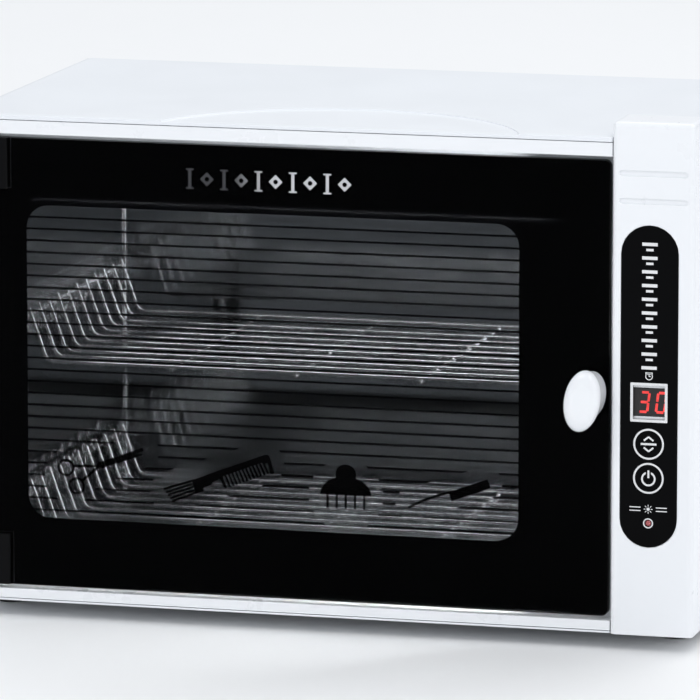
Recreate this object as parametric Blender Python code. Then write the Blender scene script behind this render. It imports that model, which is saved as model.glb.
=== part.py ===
"""UV sterilizer cabinet: a countertop box whose glass door opens on a steel chamber with two wire trays.

Units are metres.  X runs left to right, Y from the door to the back, Z up.  The origin is at the
centre of the bounding box on the surface that the feet stand on.
"""

import math

import bmesh
import bpy
from mathutils import Matrix, Vector

MM = 0.001

# ---------------------------------------------------------------------------
# Driving dimensions
# ---------------------------------------------------------------------------

# Clearances
TOUCH_GAP = 0.3 * MM          # between pieces that rest on, or are fixed to, each other
RUNNING_GAP = 0.3 * MM        # all round a pin, plunger or shaft in its bore
DOOR_GAP = 2.0 * MM           # between the door and the frame, above, below and at the hinge
DOOR_COLUMN_GAP = 1.5 * MM    # between the door's free edge and the control column

# Case
CABINET_WIDTH = 356.0 * MM
CASE_DEPTH = 203.0 * MM       # from the door's front face to the case's rear edge
SHEET = 1.0 * MM              # outer case, base and back panel
HEM_THICKNESS = 2.3 * MM      # rolled front edge of the outer case
HEM_DEPTH = 9.0 * MM
CASE_CORNER_RADIUS = 7.0 * MM
BASE_FLANGE_HEIGHT = 12.0 * MM
BACK_PANEL_INSET = 4.0 * MM
FOOT_HEIGHT = 8.0 * MM
FOOT_RADIUS = 8.5 * MM
FOOT_FLANGE_GAP = 5.0 * MM    # foot's edge to the base plate's upturned flange
FOOT_SCREW_RADIUS = 1.7 * MM
PRESSING_RADIUS = 90.0 * MM   # D-shaped pressing in the top
PRESSING_CENTRE_X = 10.0 * MM
PRESSING_CENTRE_AHEAD = 28.6 * MM
PRESSING_DEPTH = 0.6 * MM

# Front frame
FRAME_FRONT = -0.5 * MM       # frame's front face, measured back from the door's front face
FRAME_TOP_BAR = 6.3 * MM
FRAME_BOTTOM_BAR = 4.5 * MM
FRAME_PILLAR = 7.4 * MM
LEDGE_GAP = 4.5 * MM          # from the glass's back to the ledge behind it
LEDGE_THICKNESS = 2.5 * MM
PILLAR_EDGE_RADIUS = 1.2 * MM

# Door
DOOR_HEIGHT = 212.0 * MM
GLASS_THICKNESS = 4.0 * MM
GLASS_CORNER_RADIUS = 3.0 * MM
GLASS_EDGE_CHAMFER = 0.4 * MM
PRINT_THICKNESS = 0.2 * MM
WINDOW_SIDE_LEFT = 23.7 * MM  # clear of the glass's left edge
WINDOW_SIDE_RIGHT = 43.4 * MM
WINDOW_TOP = 31.8 * MM
WINDOW_BOTTOM = 31.8 * MM
WINDOW_RADIUS = 11.0 * MM
PRINT_LINE_PITCH = 5.5 * MM
PRINT_LINE_THICKNESS = 0.9 * MM

# Hinge
HINGE_EDGE = 3.0 * MM         # from the door's left edge to the hinge axis
CLAMP_WIDTH = 16.0 * MM
CLAMP_HEIGHT = 24.0 * MM
CLAMP_WALL = 1.2 * MM
CLAMP_WEB = 6.5 * MM
CLAMP_EDGE_RADIUS = 1.0 * MM
HINGE_PIN_RADIUS = 1.5 * MM
HINGE_PIN_SEAT = 12.0 * MM    # length of pin inside the clamp
HINGE_PIN_REACH = 3.6 * MM    # length of pin inside the frame's bar
HINGE_WASHER_RADIUS = 3.2 * MM

# Knob and catch
KNOB_EDGE = 8.8 * MM          # from the door's free edge to the knob's centre
KNOB_DROP = 109.0 * MM        # from the door's top edge
KNOB_PROJECTION = 19.5 * MM
KNOB_NECK = (15.0 * MM, 23.0 * MM)
KNOB_FACE = (18.0 * MM, 29.0 * MM)
KNOB_NECK_SHARE = 0.52        # of the projection, straight
KNOB_FLARE_SHARE = 0.80       # of the projection, to the end of the flare
KNOB_TILT = math.radians(7.0)
KNOB_SCREW_RADIUS = 2.0 * MM
KNOB_SCREW_GRIP = 8.0 * MM    # length of thread inside the knob
KNOB_SCREW_HEAD_RADIUS = 3.6 * MM
KNOB_SCREW_HEAD = 1.6 * MM
STRIKE_WIDTH = 10.0 * MM
STRIKE_HEIGHT = 42.0 * MM
STRIKE_THICKNESS = 1.2 * MM
CATCH_WIDTH = 9.0 * MM
CATCH_HEIGHT = 38.0 * MM
CATCH_DEPTH = 8.0 * MM
CATCH_PAD_HEIGHT = 11.0 * MM
BUMPER_RADIUS = 4.0 * MM
BUMPER_INSET = 14.0 * MM      # from the glass's top and bottom edges

# Door switch
PLUNGER_RADIUS = 2.0 * MM
PLUNGER_COLLAR_RADIUS = 3.0 * MM
PLUNGER_COLLAR_DEPTH = 4.5 * MM
PLUNGER_COLLAR_LENGTH = 1.5 * MM
PLUNGER_TAIL_LENGTH = 8.0 * MM
PLUNGER_TAIL_RADIUS = 1.5 * MM
SWITCH_SIZE = (10.0 * MM, 20.0 * MM, 20.0 * MM)
SWITCH_DROP = 34.0 * MM       # from the door's top edge

# Chamber
CHAMBER_SIDE_OVERLAP = 16.0 * MM   # door past the chamber's opening at each side
CHAMBER_TOP_OVERLAP = 11.0 * MM
CHAMBER_FLOOR_OVERLAP = 20.6 * MM
CHAMBER_REAR_SPACE = 16.0 * MM     # inner back wall to the case's rear edge
CHAMBER_SHEET = 0.8 * MM
CHAMBER_FLANGE = 6.0 * MM
CHAMBER_BEND_RADIUS = 1.8 * MM
SUPPORT_WIDTH = 22.0 * MM
SUPPORT_SPACING = 190.0 * MM
SUPPORT_END_GAP = 14.0 * MM   # support's ends to the base plate's flanges

# Welded wire trays
TRAY_WIRE_RADIUS = 0.9 * MM
TRAY_ROD_RADIUS = 1.5 * MM
TRAY_WIRE_COUNT = 11
TRAY_WIRE_SIDES = 1           # bevel resolution of the wires: 1 gives six sides
TRAY_WELD_SHARE = 0.3         # of the wire's radius, sunk into the rod that it crosses
TRAY_FRONT = 12.0 * MM        # front wire's centre, from the door's front face
TRAY_REAR_GAP = 25.0 * MM     # rear wire's centre to the chamber's back wall
TRAY_SIDE_GAP = 3.8 * MM      # rim rod to the chamber's side wall
TRAY_END_RISE = 21.0 * MM     # from the flat wires to the rim rod
TRAY_END_LEAN = 7.5 * MM
TRAY_END_TIP = 4.0 * MM       # wire ends past the rim rod
TRAY_BEND_RADIUS = 5.0 * MM
TRAY_CROSS_RODS = (-60.0 * MM, 0.0, 60.0 * MM)
TRAY_ROD_OVERHANG = 1.6 * MM
TRAY_SPACING = 81.6 * MM
RAIL_SHEET = 0.8 * MM
RAIL_HEIGHT = 12.0 * MM
RAIL_WIRE_GAP = 0.8 * MM      # rail's edge to the leaning wire ends

# Lamp
LAMP_RADIUS = 7.75 * MM
LAMP_CAP_LENGTH = 9.0 * MM
LAMP_CAP_STEP = 0.35 * MM
LAMP_PIN_RADIUS = 1.1 * MM
LAMP_PIN_SPACING = 5.0 * MM
LAMP_PIN_LENGTH = 6.5 * MM
LAMP_DROP = 16.0 * MM         # from the chamber's ceiling to the tube's axis
LAMP_END_SPACE = 18.0 * MM    # lamp holder to the chamber's side wall
HOLDER_THICKNESS = 11.0 * MM
HOLDER_WIDTH = 20.0 * MM
HOLDER_BORE_RADIUS = 4.4 * MM
HOLDER_SLOT = 3.2 * MM
REFLECTOR_SHEET = 0.8 * MM
REFLECTOR_WIDTH = 46.0 * MM
REFLECTOR_LIP = 6.0 * MM

# Control column
COLUMN_WIDTH = 38.7 * MM
COLUMN_PROUD = 2.0 * MM       # ahead of the door's front face
COLUMN_RISE = 7.4 * MM        # above the case's top
COLUMN_DEPTH = 26.0 * MM
COLUMN_WALL = 3.0 * MM
COLUMN_EDGE_RADIUS = 2.4 * MM
GROOVE_MARGIN = 3.25 * MM     # groove's ends to the column's sides
GROOVE_HEIGHT = 2.6 * MM
GROOVE_DEPTH = 0.9 * MM
GROOVE_DROPS = (5.1 * MM, 17.9 * MM)    # below the door's top edge
OVERLAY_WIDTH = 26.5 * MM
OVERLAY_TAIL = 11.2 * MM      # light's centre to the overlay's lower end
OVERLAY_DROP = 29.0 * MM
OVERLAY_THICKNESS = 1.0 * MM
OVERLAY_CENTRE_SHIFT = -1.5 * MM        # overlay's centre from the column's centre
DISPLAY_SIZE = (15.2 * MM, 12.8 * MM, 7.0 * MM)
DISPLAY_DROP = 110.8 * MM
BUTTON_RADIUS = 7.3 * MM
BUTTON_EAR_REACH = 1.6 * MM   # past the key's sides
BUTTON_EAR_HEIGHT = 7.0 * MM
BUTTON_EAR_THICKNESS = 1.0 * MM
BUTTON_TRAVEL = 0.6 * MM
BUTTON_DISPLAY_GAP = 5.6 * MM # display's lower edge to the upper key
BUTTON_GAP = 1.3 * MM         # between the two keys
LED_RADIUS = 1.5 * MM
LED_BUTTON_GAP = 13.7 * MM    # lower key to the light's centre
BOARD_THICKNESS = 1.6 * MM
BOARD_SIDE_GAP = 0.85 * MM    # board's edges to the column's inner walls
BOARD_ABOVE = 39.4 * MM       # board past the display's upper edge
BOARD_BELOW = 7.0 * MM        # board past the light's centre
BOARD_SWITCH_SIZE = 6.0 * MM

# Compartment beside the chamber
BALLAST_SIZE = (26.0 * MM, 68.0 * MM, 30.0 * MM)
BALLAST_STRAP = 1.2 * MM      # thickness of the strap under it
BALLAST_EAR = 12.0 * MM       # strap past the body at each end
BALLAST_HOLE_RADIUS = 2.2 * MM
BALLAST_FOOT_GAP = 1.0 * MM   # behind the front foot
INLET_BODY = (27.0 * MM, 20.0 * MM)
INLET_FLANGE = (31.0 * MM, 24.0 * MM)
INLET_FLANGE_THICKNESS = 2.0 * MM
INLET_DEPTH = 19.0 * MM
INLET_SOCKET = (22.0 * MM, 14.0 * MM)
INLET_SOCKET_DEPTH = 15.0 * MM
INLET_PIN_LENGTH = 9.0 * MM
INLET_PIN_SIZE = (2.0 * MM, 4.0 * MM)
INLET_PIN_SPREAD = 7.0 * MM        # live and neutral, each side of the middle
INLET_PIN_RISE = (-1.5 * MM, 2.5 * MM)  # outer pins, and the earth pin between them
INLET_HEIGHT = 40.0 * MM
VENT_COUNT = 6
VENT_SIZE = (30.0 * MM, 3.0 * MM)
VENT_PITCH = 9.0 * MM
VENT_HEIGHT = 130.0 * MM      # lowest vent above the surface that the feet stand on

# ---------------------------------------------------------------------------
# Places worked out from the driving dimensions
# ---------------------------------------------------------------------------

DOOR_FRONT = (KNOB_PROJECTION - CASE_DEPTH) / 2.0
CASE_BACK = DOOR_FRONT + CASE_DEPTH
FRAME_Y = DOOR_FRONT + FRAME_FRONT
LEDGE_Y = DOOR_FRONT + GLASS_THICKNESS + LEDGE_GAP
LEDGE_BACK = LEDGE_Y + LEDGE_THICKNESS

CASE_LEFT = -CABINET_WIDTH / 2.0
CASE_RIGHT = CABINET_WIDTH / 2.0
COLUMN_LEFT = CASE_RIGHT - COLUMN_WIDTH
COLUMN_X = (COLUMN_LEFT + CASE_RIGHT) / 2.0
COLUMN_FRONT = DOOR_FRONT - COLUMN_PROUD
COLUMN_BACK = COLUMN_FRONT + COLUMN_DEPTH
DOOR_RIGHT = COLUMN_LEFT - DOOR_COLUMN_GAP
PILLAR_LEFT = CASE_LEFT + HEM_THICKNESS + TOUCH_GAP
PILLAR_RIGHT = PILLAR_LEFT + FRAME_PILLAR
DOOR_LEFT = PILLAR_RIGHT + DOOR_GAP
DOOR_X = (DOOR_LEFT + DOOR_RIGHT) / 2.0

BASE_BOTTOM = FOOT_HEIGHT
FRAME_BOTTOM = BASE_BOTTOM + SHEET + TOUCH_GAP
RECESS_BOTTOM = FRAME_BOTTOM + FRAME_BOTTOM_BAR
DOOR_BOTTOM = RECESS_BOTTOM + DOOR_GAP
DOOR_TOP = DOOR_BOTTOM + DOOR_HEIGHT
RECESS_TOP = DOOR_TOP + DOOR_GAP
FRAME_TOP = RECESS_TOP + FRAME_TOP_BAR
CASE_TOP = FRAME_TOP + TOUCH_GAP + HEM_THICKNESS
COLUMN_TOP = CASE_TOP + COLUMN_RISE

HINGE_X = DOOR_LEFT + HINGE_EDGE
HINGE_Y = DOOR_FRONT + GLASS_THICKNESS / 2.0
GLASS_BACK = DOOR_FRONT + GLASS_THICKNESS
PRINT_Y = GLASS_BACK + TOUCH_GAP
PRINT_BACK = PRINT_Y + PRINT_THICKNESS
KNOB_X = DOOR_RIGHT - KNOB_EDGE
KNOB_Z = DOOR_TOP - KNOB_DROP
STRIKE_Y = PRINT_BACK + TOUCH_GAP
STRIKE_BACK = STRIKE_Y + STRIKE_THICKNESS

CHAMBER_LEFT = DOOR_LEFT + CHAMBER_SIDE_OVERLAP
CHAMBER_RIGHT = DOOR_RIGHT - CHAMBER_SIDE_OVERLAP
CHAMBER_CEILING = DOOR_TOP - CHAMBER_TOP_OVERLAP
CHAMBER_FLOOR = DOOR_BOTTOM + CHAMBER_FLOOR_OVERLAP
CHAMBER_FRONT = LEDGE_BACK + TOUCH_GAP
CHAMBER_BACK_Y = CASE_BACK - CHAMBER_REAR_SPACE
BACK_PANEL_Y = CASE_BACK - BACK_PANEL_INSET - SHEET

BASE_LEFT = CASE_LEFT + SHEET + TOUCH_GAP
BASE_RIGHT = CASE_RIGHT - SHEET - TOUCH_GAP
BASE_FRONT = COLUMN_BACK + TOUCH_GAP
BASE_REAR = BACK_PANEL_Y - TOUCH_GAP
FOOT_INSET = SHEET + FOOT_FLANGE_GAP + FOOT_RADIUS

TRAY_WELD = TRAY_WELD_SHARE * TRAY_WIRE_RADIUS
TRAY_FRONT_Y = DOOR_FRONT + TRAY_FRONT
TRAY_REAR_Y = CHAMBER_BACK_Y - TRAY_REAR_GAP
TRAY_PITCH = (TRAY_REAR_Y - TRAY_FRONT_Y) / (TRAY_WIRE_COUNT - 1)
TRAY_ROD_X = (CHAMBER_RIGHT - CHAMBER_LEFT) / 2.0 - TRAY_SIDE_GAP - TRAY_ROD_RADIUS
TRAY_CROSS_DROP = 2.0 * TRAY_WIRE_RADIUS - TRAY_WELD
TRAY_LOWER_Z = CHAMBER_FLOOR + TOUCH_GAP + TRAY_WIRE_RADIUS + TRAY_CROSS_DROP
TRAY_UPPER_Z = TRAY_LOWER_Z + TRAY_SPACING

LAMP_Z = CHAMBER_CEILING - LAMP_DROP
LAMP_Y = (CHAMBER_FRONT + CHAMBER_BACK_Y) / 2.0
HOLDER_LEFT = CHAMBER_LEFT + LAMP_END_SPACE
HOLDER_RIGHT = CHAMBER_RIGHT - LAMP_END_SPACE
REFLECTOR_TOP = CHAMBER_CEILING - TOUCH_GAP

SELECT_DROP = DISPLAY_DROP + DISPLAY_SIZE[1] / 2.0 + BUTTON_DISPLAY_GAP + BUTTON_RADIUS
POWER_DROP = SELECT_DROP + 2.0 * BUTTON_RADIUS + BUTTON_GAP
BUTTON_DROPS = {"select_button": SELECT_DROP, "power_button": POWER_DROP}
LED_DROP = POWER_DROP + BUTTON_RADIUS + LED_BUTTON_GAP
OVERLAY_HEIGHT = LED_DROP + OVERLAY_TAIL - OVERLAY_DROP
OVERLAY_X = COLUMN_X + OVERLAY_CENTRE_SHIFT
OVERLAY_TOP = DOOR_TOP - OVERLAY_DROP
OVERLAY_BACK = COLUMN_FRONT + OVERLAY_THICKNESS
POCKET_Y = OVERLAY_BACK + TOUCH_GAP
COLUMN_INNER_Y = COLUMN_FRONT + COLUMN_WALL
DISPLAY_Z = DOOR_TOP - DISPLAY_DROP
DISPLAY_Y = POCKET_Y
BOARD_Y = DISPLAY_Y + DISPLAY_SIZE[2] + TOUCH_GAP
BUTTON_EAR_Y = COLUMN_INNER_Y + TOUCH_GAP
BUTTON_BACK = BUTTON_EAR_Y + BUTTON_EAR_THICKNESS
SWITCH_X = DOOR_RIGHT - KNOB_EDGE
SWITCH_Z = DOOR_TOP - SWITCH_DROP
PLUNGER_TIP_Y = PRINT_BACK + TOUCH_GAP
COLLAR_Y = LEDGE_BACK + PLUNGER_COLLAR_DEPTH
ROOM_X = (CHAMBER_RIGHT + CHAMBER_SHEET + CASE_RIGHT - SHEET) / 2.0


# ---------------------------------------------------------------------------
# Modelling helpers
# ---------------------------------------------------------------------------

def clear_scene():
    """Remove every object, so the script gives the same scene each run."""
    for old in list(bpy.data.objects):
        bpy.data.objects.remove(old, do_unlink=True)


def material(name, color, roughness, metallic=0.0):
    """Return the named Principled material, made the first time it is asked for."""
    found = bpy.data.materials.get(name)
    if found:
        return found
    made = bpy.data.materials.new(name)
    made.use_nodes = True
    shader = made.node_tree.nodes["Principled BSDF"]
    shader.inputs["Base Color"].default_value = (*color, 1.0)
    shader.inputs["Roughness"].default_value = roughness
    shader.inputs["Metallic"].default_value = metallic
    made.diffuse_color = (*color, 1.0)
    return made


MATERIALS = {
    "white_paint": ((0.90, 0.92, 0.95), 0.35, 0.0),
    "white_plastic": ((0.92, 0.93, 0.95), 0.30, 0.0),
    "black_plastic": ((0.02, 0.02, 0.02), 0.40, 0.0),
    "black_ink": ((0.005, 0.005, 0.006), 0.25, 0.0),
    "tinted_glass": ((0.10, 0.11, 0.12), 0.05, 0.0),
    "overlay_gloss": ((0.01, 0.01, 0.01), 0.08, 0.0),
    "stainless": ((0.62, 0.62, 0.60), 0.22, 1.0),
    "bright_wire": ((0.78, 0.78, 0.78), 0.12, 1.0),
    "zinc_plate": ((0.60, 0.61, 0.62), 0.35, 1.0),
    "lamp_glass": ((0.85, 0.88, 0.92), 0.08, 0.0),
    "rubber": ((0.03, 0.03, 0.03), 0.80, 0.0),
    "board_green": ((0.02, 0.16, 0.06), 0.50, 0.0),
    "red_lens": ((0.75, 0.05, 0.06), 0.15, 0.0),
}


def place(name, mesh, finish):
    """Link a mesh as the object called name, with its named finish."""
    made = bpy.data.objects.new(name, mesh)
    bpy.context.scene.collection.objects.link(made)
    made.data.materials.append(material(finish, *MATERIALS[finish]))
    return made


def mesh_from(name, bm):
    """Close a bmesh into a mesh with its faces pointing out."""
    bmesh.ops.recalc_face_normals(bm, faces=bm.faces)
    mesh = bpy.data.meshes.new(name)
    bm.to_mesh(mesh)
    bm.free()
    return mesh


def box(name, low, high, finish="white_paint"):
    """A block between two opposite corners."""
    bm = bmesh.new()
    bmesh.ops.create_cube(bm, size=1.0)
    size = Vector(high) - Vector(low)
    middle = (Vector(high) + Vector(low)) / 2.0
    bmesh.ops.scale(bm, vec=size, verts=bm.verts)
    bmesh.ops.translate(bm, vec=middle, verts=bm.verts)
    return place(name, mesh_from(name, bm), finish)


def prism(name, outline, axis, start, end, finish="white_paint"):
    """Extrude an outline along X, Y or Z; its points are the other two coordinates in order."""
    def lift(point, depth):
        if axis == "X":
            return (depth, point[0], point[1])
        if axis == "Y":
            return (point[0], depth, point[1])
        return (point[0], point[1], depth)

    bm = bmesh.new()
    ring = [bm.verts.new(lift(point, start)) for point in outline]
    face = bm.faces.new(ring)
    extruded = bmesh.ops.extrude_face_region(bm, geom=[face])
    moved = [item for item in extruded["geom"] if isinstance(item, bmesh.types.BMVert)]
    shift = Vector(lift((0.0, 0.0), end - start))
    bmesh.ops.translate(bm, vec=shift, verts=moved)
    return place(name, mesh_from(name, bm), finish)


def arc(centre, radius, start, end, steps):
    """Points along an arc, angles in degrees, both ends included."""
    points = []
    for step in range(steps + 1):
        angle = math.radians(start + (end - start) * step / steps)
        points.append((centre[0] + radius * math.cos(angle), centre[1] + radius * math.sin(angle)))
    return points


def rounded_rectangle(low, high, radius, steps=4):
    """Outline of a rectangle with round corners."""
    points = []
    corners = (
        (high[0] - radius, high[1] - radius, 0.0),
        (low[0] + radius, high[1] - radius, 90.0),
        (low[0] + radius, low[1] + radius, 180.0),
        (high[0] - radius, low[1] + radius, 270.0),
    )
    for x, z, start in corners:
        points += arc((x, z), radius, start, start + 90.0, steps)
    return points


def stadium(centre, width, height, steps=8):
    """Outline of an upright or lying slot with half-round ends."""
    x, z = centre
    if height >= width:
        radius = width / 2.0
        reach = height / 2.0 - radius
        return (arc((x, z + reach), radius, 0.0, 180.0, steps)
                + arc((x, z - reach), radius, 180.0, 360.0, steps))
    radius = height / 2.0
    reach = width / 2.0 - radius
    return (arc((x + reach, z), radius, -90.0, 90.0, steps)
            + arc((x - reach, z), radius, 90.0, 270.0, steps))


def turned(name, profile, centre, axis, finish="white_plastic", segments=20):
    """Revolve (radius, distance) pairs about an axis through centre; ends on the axis are closed."""
    bm = bmesh.new()
    rings = []
    for radius, along in profile:
        if radius <= 0.0:
            rings.append([bm.verts.new((0.0, 0.0, along))])
            continue
        ring = []
        for step in range(segments):
            angle = 2.0 * math.pi * step / segments
            ring.append(bm.verts.new((radius * math.cos(angle), radius * math.sin(angle), along)))
        rings.append(ring)
    for lower, upper in zip(rings, rings[1:]):
        bridge(bm, lower, upper)
    for end in (rings[0], rings[-1]):
        if len(end) > 1:
            bm.faces.new(end)
    turn = {
        "X": Matrix.Rotation(math.radians(90.0), 4, "Y"),
        "Y": Matrix.Rotation(math.radians(-90.0), 4, "X"),
        "Z": Matrix.Identity(4),
    }[axis]
    bmesh.ops.transform(bm, matrix=Matrix.Translation(centre) @ turn, verts=bm.verts)
    made = place(name, mesh_from(name, bm), finish)
    smooth(made)
    return made


def bridge(bm, lower, upper):
    """Join two rings of the same length, or a ring and a single point."""
    count = max(len(lower), len(upper))
    for step in range(count):
        after = (step + 1) % count
        corners = []
        for ring, picks in ((lower, (step, after)), (upper, (after, step))):
            if len(ring) == 1:
                corners.append(ring[0])
            else:
                corners += [ring[pick] for pick in picks]
        bm.faces.new(corners)


def cylinder(name, centre, axis, radius, length, finish="white_plastic", segments=20):
    """A cylinder that starts at centre and runs along the positive axis."""
    return turned(name, [(radius, 0.0), (radius, length)], centre, axis, finish, segments)


def ring(name, centre, axis, outer, inner, length, finish, segments=20):
    """A flat ring that starts at centre and runs along the positive axis."""
    made = cylinder(name, centre, axis, outer, length, finish, segments)
    hole_start = Vector(centre) - axis_vector(axis) * length
    return cut(made, cylinder(name + "_hole", hole_start, axis, inner, 3.0 * length, finish, segments))


def axis_vector(axis):
    """Unit vector of a named axis."""
    return Vector([1.0 if letter == axis else 0.0 for letter in "XYZ"])


def smooth(made, angle=35.0):
    """Shade round faces smooth and keep edges sharper than the angle crisp."""
    made.data.shade_smooth()
    made.data.set_sharp_from_angle(angle=math.radians(angle))


def combine(made, other, operation):
    """Apply a Boolean and remove the object that it used."""
    modifier = made.modifiers.new("combine", "BOOLEAN")
    modifier.object = other
    modifier.operation = operation
    modifier.solver = "EXACT"
    bpy.context.view_layer.update()
    evaluated = made.evaluated_get(bpy.context.evaluated_depsgraph_get())
    mesh = bpy.data.meshes.new_from_object(evaluated)
    mesh.name = made.name
    made.modifiers.remove(modifier)
    made.data = mesh
    bpy.data.objects.remove(other, do_unlink=True)
    return made


def cut(made, *cutters):
    """Subtract each cutter."""
    for cutter in cutters:
        combine(made, cutter, "DIFFERENCE")
    return made


def join(made, *others):
    """Weld each object on."""
    for other in others:
        combine(made, other, "UNION")
    return made


def merge(name, pieces):
    """Make one object of several that don't touch each other."""
    bm = bmesh.new()
    for piece in pieces:
        bm.from_mesh(piece.data)
    mesh = bpy.data.meshes.new(name)
    bm.to_mesh(mesh)
    bm.free()
    made = bpy.data.objects.new(name, mesh)
    bpy.context.scene.collection.objects.link(made)
    for slot in pieces[0].data.materials:
        made.data.materials.append(slot)
    for piece in pieces:
        bpy.data.objects.remove(piece, do_unlink=True)
    return made


def wire(name, points, radius, resolution=1, finish="bright_wire"):
    """Round wire along the points, made as a bevelled curve with filled ends."""
    curve = bpy.data.curves.new(name, "CURVE")
    curve.dimensions = "3D"
    curve.bevel_depth = radius
    curve.bevel_resolution = resolution
    curve.use_fill_caps = True
    spline = curve.splines.new("POLY")
    spline.points.add(len(points) - 1)
    for spot, point in zip(spline.points, points):
        spot.co = (*point, 1.0)
    guide = bpy.data.objects.new(name, curve)
    bpy.context.scene.collection.objects.link(guide)
    bpy.context.view_layer.update()
    evaluated = guide.evaluated_get(bpy.context.evaluated_depsgraph_get())
    bm = bmesh.new()
    source = bpy.data.meshes.new_from_object(evaluated)
    bm.from_mesh(source)
    bmesh.ops.remove_doubles(bm, verts=bm.verts, dist=1e-7)
    bpy.data.meshes.remove(source)
    bpy.data.objects.remove(guide, do_unlink=True)
    return place(name, mesh_from(name, bm), finish)


def bevel(made, width, segments, edges):
    """Round the edges that a test picks out."""
    bm = bmesh.new()
    bm.from_mesh(made.data)
    chosen = [edge for edge in bm.edges if edges(edge)]
    bmesh.ops.bevel(bm, geom=chosen, offset=width, segments=segments, profile=0.5,
                    affect="EDGES", clamp_overlap=True)
    bmesh.ops.recalc_face_normals(bm, faces=bm.faces)
    bm.to_mesh(made.data)
    bm.free()
    return made


def edge_along(edge, axis):
    """True if an edge runs along the named axis."""
    run = edge.verts[1].co - edge.verts[0].co
    return abs(run.normalized().dot(axis_vector(axis))) > 0.999


# ---------------------------------------------------------------------------
# Case
# ---------------------------------------------------------------------------

def case_outline(inset):
    """The case's arch, open at the bottom, drawn inset from its outside."""
    radius = CASE_CORNER_RADIUS - min(inset, CASE_CORNER_RADIUS / 2.0)
    left = CASE_LEFT + inset
    right = CASE_RIGHT - inset
    top = CASE_TOP - inset
    bottom = BASE_BOTTOM if inset == 0.0 else BASE_BOTTOM - FOOT_HEIGHT
    points = [(right, bottom)]
    points += arc((right - radius, top - radius), radius, 0.0, 90.0, 5)
    points += arc((left + radius, top - radius), radius, 90.0, 180.0, 5)
    points.append((left, bottom))
    return points


def pressing_outline(radius):
    """The round side of the D in the top, closed well ahead of the case."""
    centre = (PRESSING_CENTRE_X, FRAME_Y - PRESSING_CENTRE_AHEAD)
    return arc(centre, radius, 0.0, 180.0, 36)


def make_outer_shell():
    """Folded sheet: top and two sides, with a rolled front edge and a shallow D pressed in the top."""
    shell = prism("outer_shell", case_outline(0.0), "Y", FRAME_Y, CASE_BACK)
    pressing_underside = CASE_TOP - SHEET - PRESSING_DEPTH
    inside = prism("inside", case_outline(SHEET), "Y", FRAME_Y + HEM_DEPTH, CASE_BACK + HEM_DEPTH)
    mouth = prism("mouth", case_outline(HEM_THICKNESS), "Y", FRAME_Y - HEM_DEPTH,
                  FRAME_Y + 1.5 * HEM_DEPTH)
    cut(shell, inside, mouth)
    sunk = prism("sunk", pressing_outline(PRESSING_RADIUS + SHEET), "Z", pressing_underside,
                 CASE_TOP - SHEET / 2.0)
    cut(sunk, box("ahead", (CASE_LEFT, -CASE_DEPTH, 0.0),
                  (CASE_RIGHT, FRAME_Y + HEM_DEPTH / 2.0, COLUMN_TOP)))
    join(shell, sunk)
    cut(shell, prism("pressing", pressing_outline(PRESSING_RADIUS), "Z", CASE_TOP - PRESSING_DEPTH,
                     CASE_TOP + HEM_THICKNESS))
    column_room = box("column_room",
                      (COLUMN_LEFT - TOUCH_GAP, COLUMN_FRONT - HEM_DEPTH, 0.0),
                      (CASE_RIGHT + HEM_DEPTH, COLUMN_BACK + TOUCH_GAP, COLUMN_TOP + HEM_DEPTH))
    cut(shell, column_room)
    smooth(shell)
    return shell


def foot_places():
    """Centres of the four feet, with their names."""
    for side, x in (("left", BASE_LEFT + FOOT_INSET), ("right", BASE_RIGHT - FOOT_INSET)):
        for end, y in (("front", BASE_FRONT + FOOT_INSET), ("rear", BASE_REAR - FOOT_INSET)):
            yield f"{end}_{side}", x, y


def make_base_plate():
    """Shallow sheet tray that closes the bottom, inside the case's sides."""
    plate = box("base_plate", (BASE_LEFT, BASE_FRONT, BASE_BOTTOM),
                (BASE_RIGHT, BASE_REAR, BASE_BOTTOM + BASE_FLANGE_HEIGHT))
    hollow = box("hollow", (BASE_LEFT + SHEET, BASE_FRONT + SHEET, BASE_BOTTOM + SHEET),
                 (BASE_RIGHT - SHEET, BASE_REAR - SHEET, BASE_BOTTOM + 2.0 * BASE_FLANGE_HEIGHT))
    cut(plate, hollow)
    front_lip = box("front_lip", (PILLAR_LEFT, FRAME_Y, BASE_BOTTOM),
                    (COLUMN_LEFT - TOUCH_GAP, BASE_FRONT + SHEET / 2.0, BASE_BOTTOM + SHEET))
    join(plate, front_lip)
    for name, x, y in foot_places():
        cut(plate, cylinder(f"screw_hole_{name}", (x, y, 0.0), "Z",
                            FOOT_SCREW_RADIUS + RUNNING_GAP, BASE_BOTTOM + 2.0 * SHEET, segments=12))
    return plate


def make_feet():
    """Four tapered rubber feet, each with the screw that holds it."""
    washer_floor = FOOT_HEIGHT * 0.4
    for name, x, y in foot_places():
        foot = turned(f"foot_{name}",
                      [(FOOT_RADIUS * 0.85, 0.0), (FOOT_RADIUS, FOOT_HEIGHT - TOUCH_GAP)],
                      (x, y, 0.0), "Z", "rubber")
        recess = cylinder("recess", (x, y, -MM), "Z", FOOT_SCREW_RADIUS * 2.4,
                          washer_floor + MM, segments=16)
        bore = cylinder("bore", (x, y, -MM), "Z", FOOT_SCREW_RADIUS + RUNNING_GAP,
                        FOOT_HEIGHT + 2.0 * MM, segments=12)
        cut(foot, recess, bore)
        smooth(foot)
        head = washer_floor - TOUCH_GAP
        tip = BASE_BOTTOM + SHEET + 3.0 * MM
        turned(f"foot_screw_{name}",
               [(FOOT_SCREW_RADIUS * 2.0, head - 1.4 * MM), (FOOT_SCREW_RADIUS * 2.0, head),
                (FOOT_SCREW_RADIUS, head), (FOOT_SCREW_RADIUS, tip)],
               (x, y, 0.0), "Z", "zinc_plate", 12)


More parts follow.
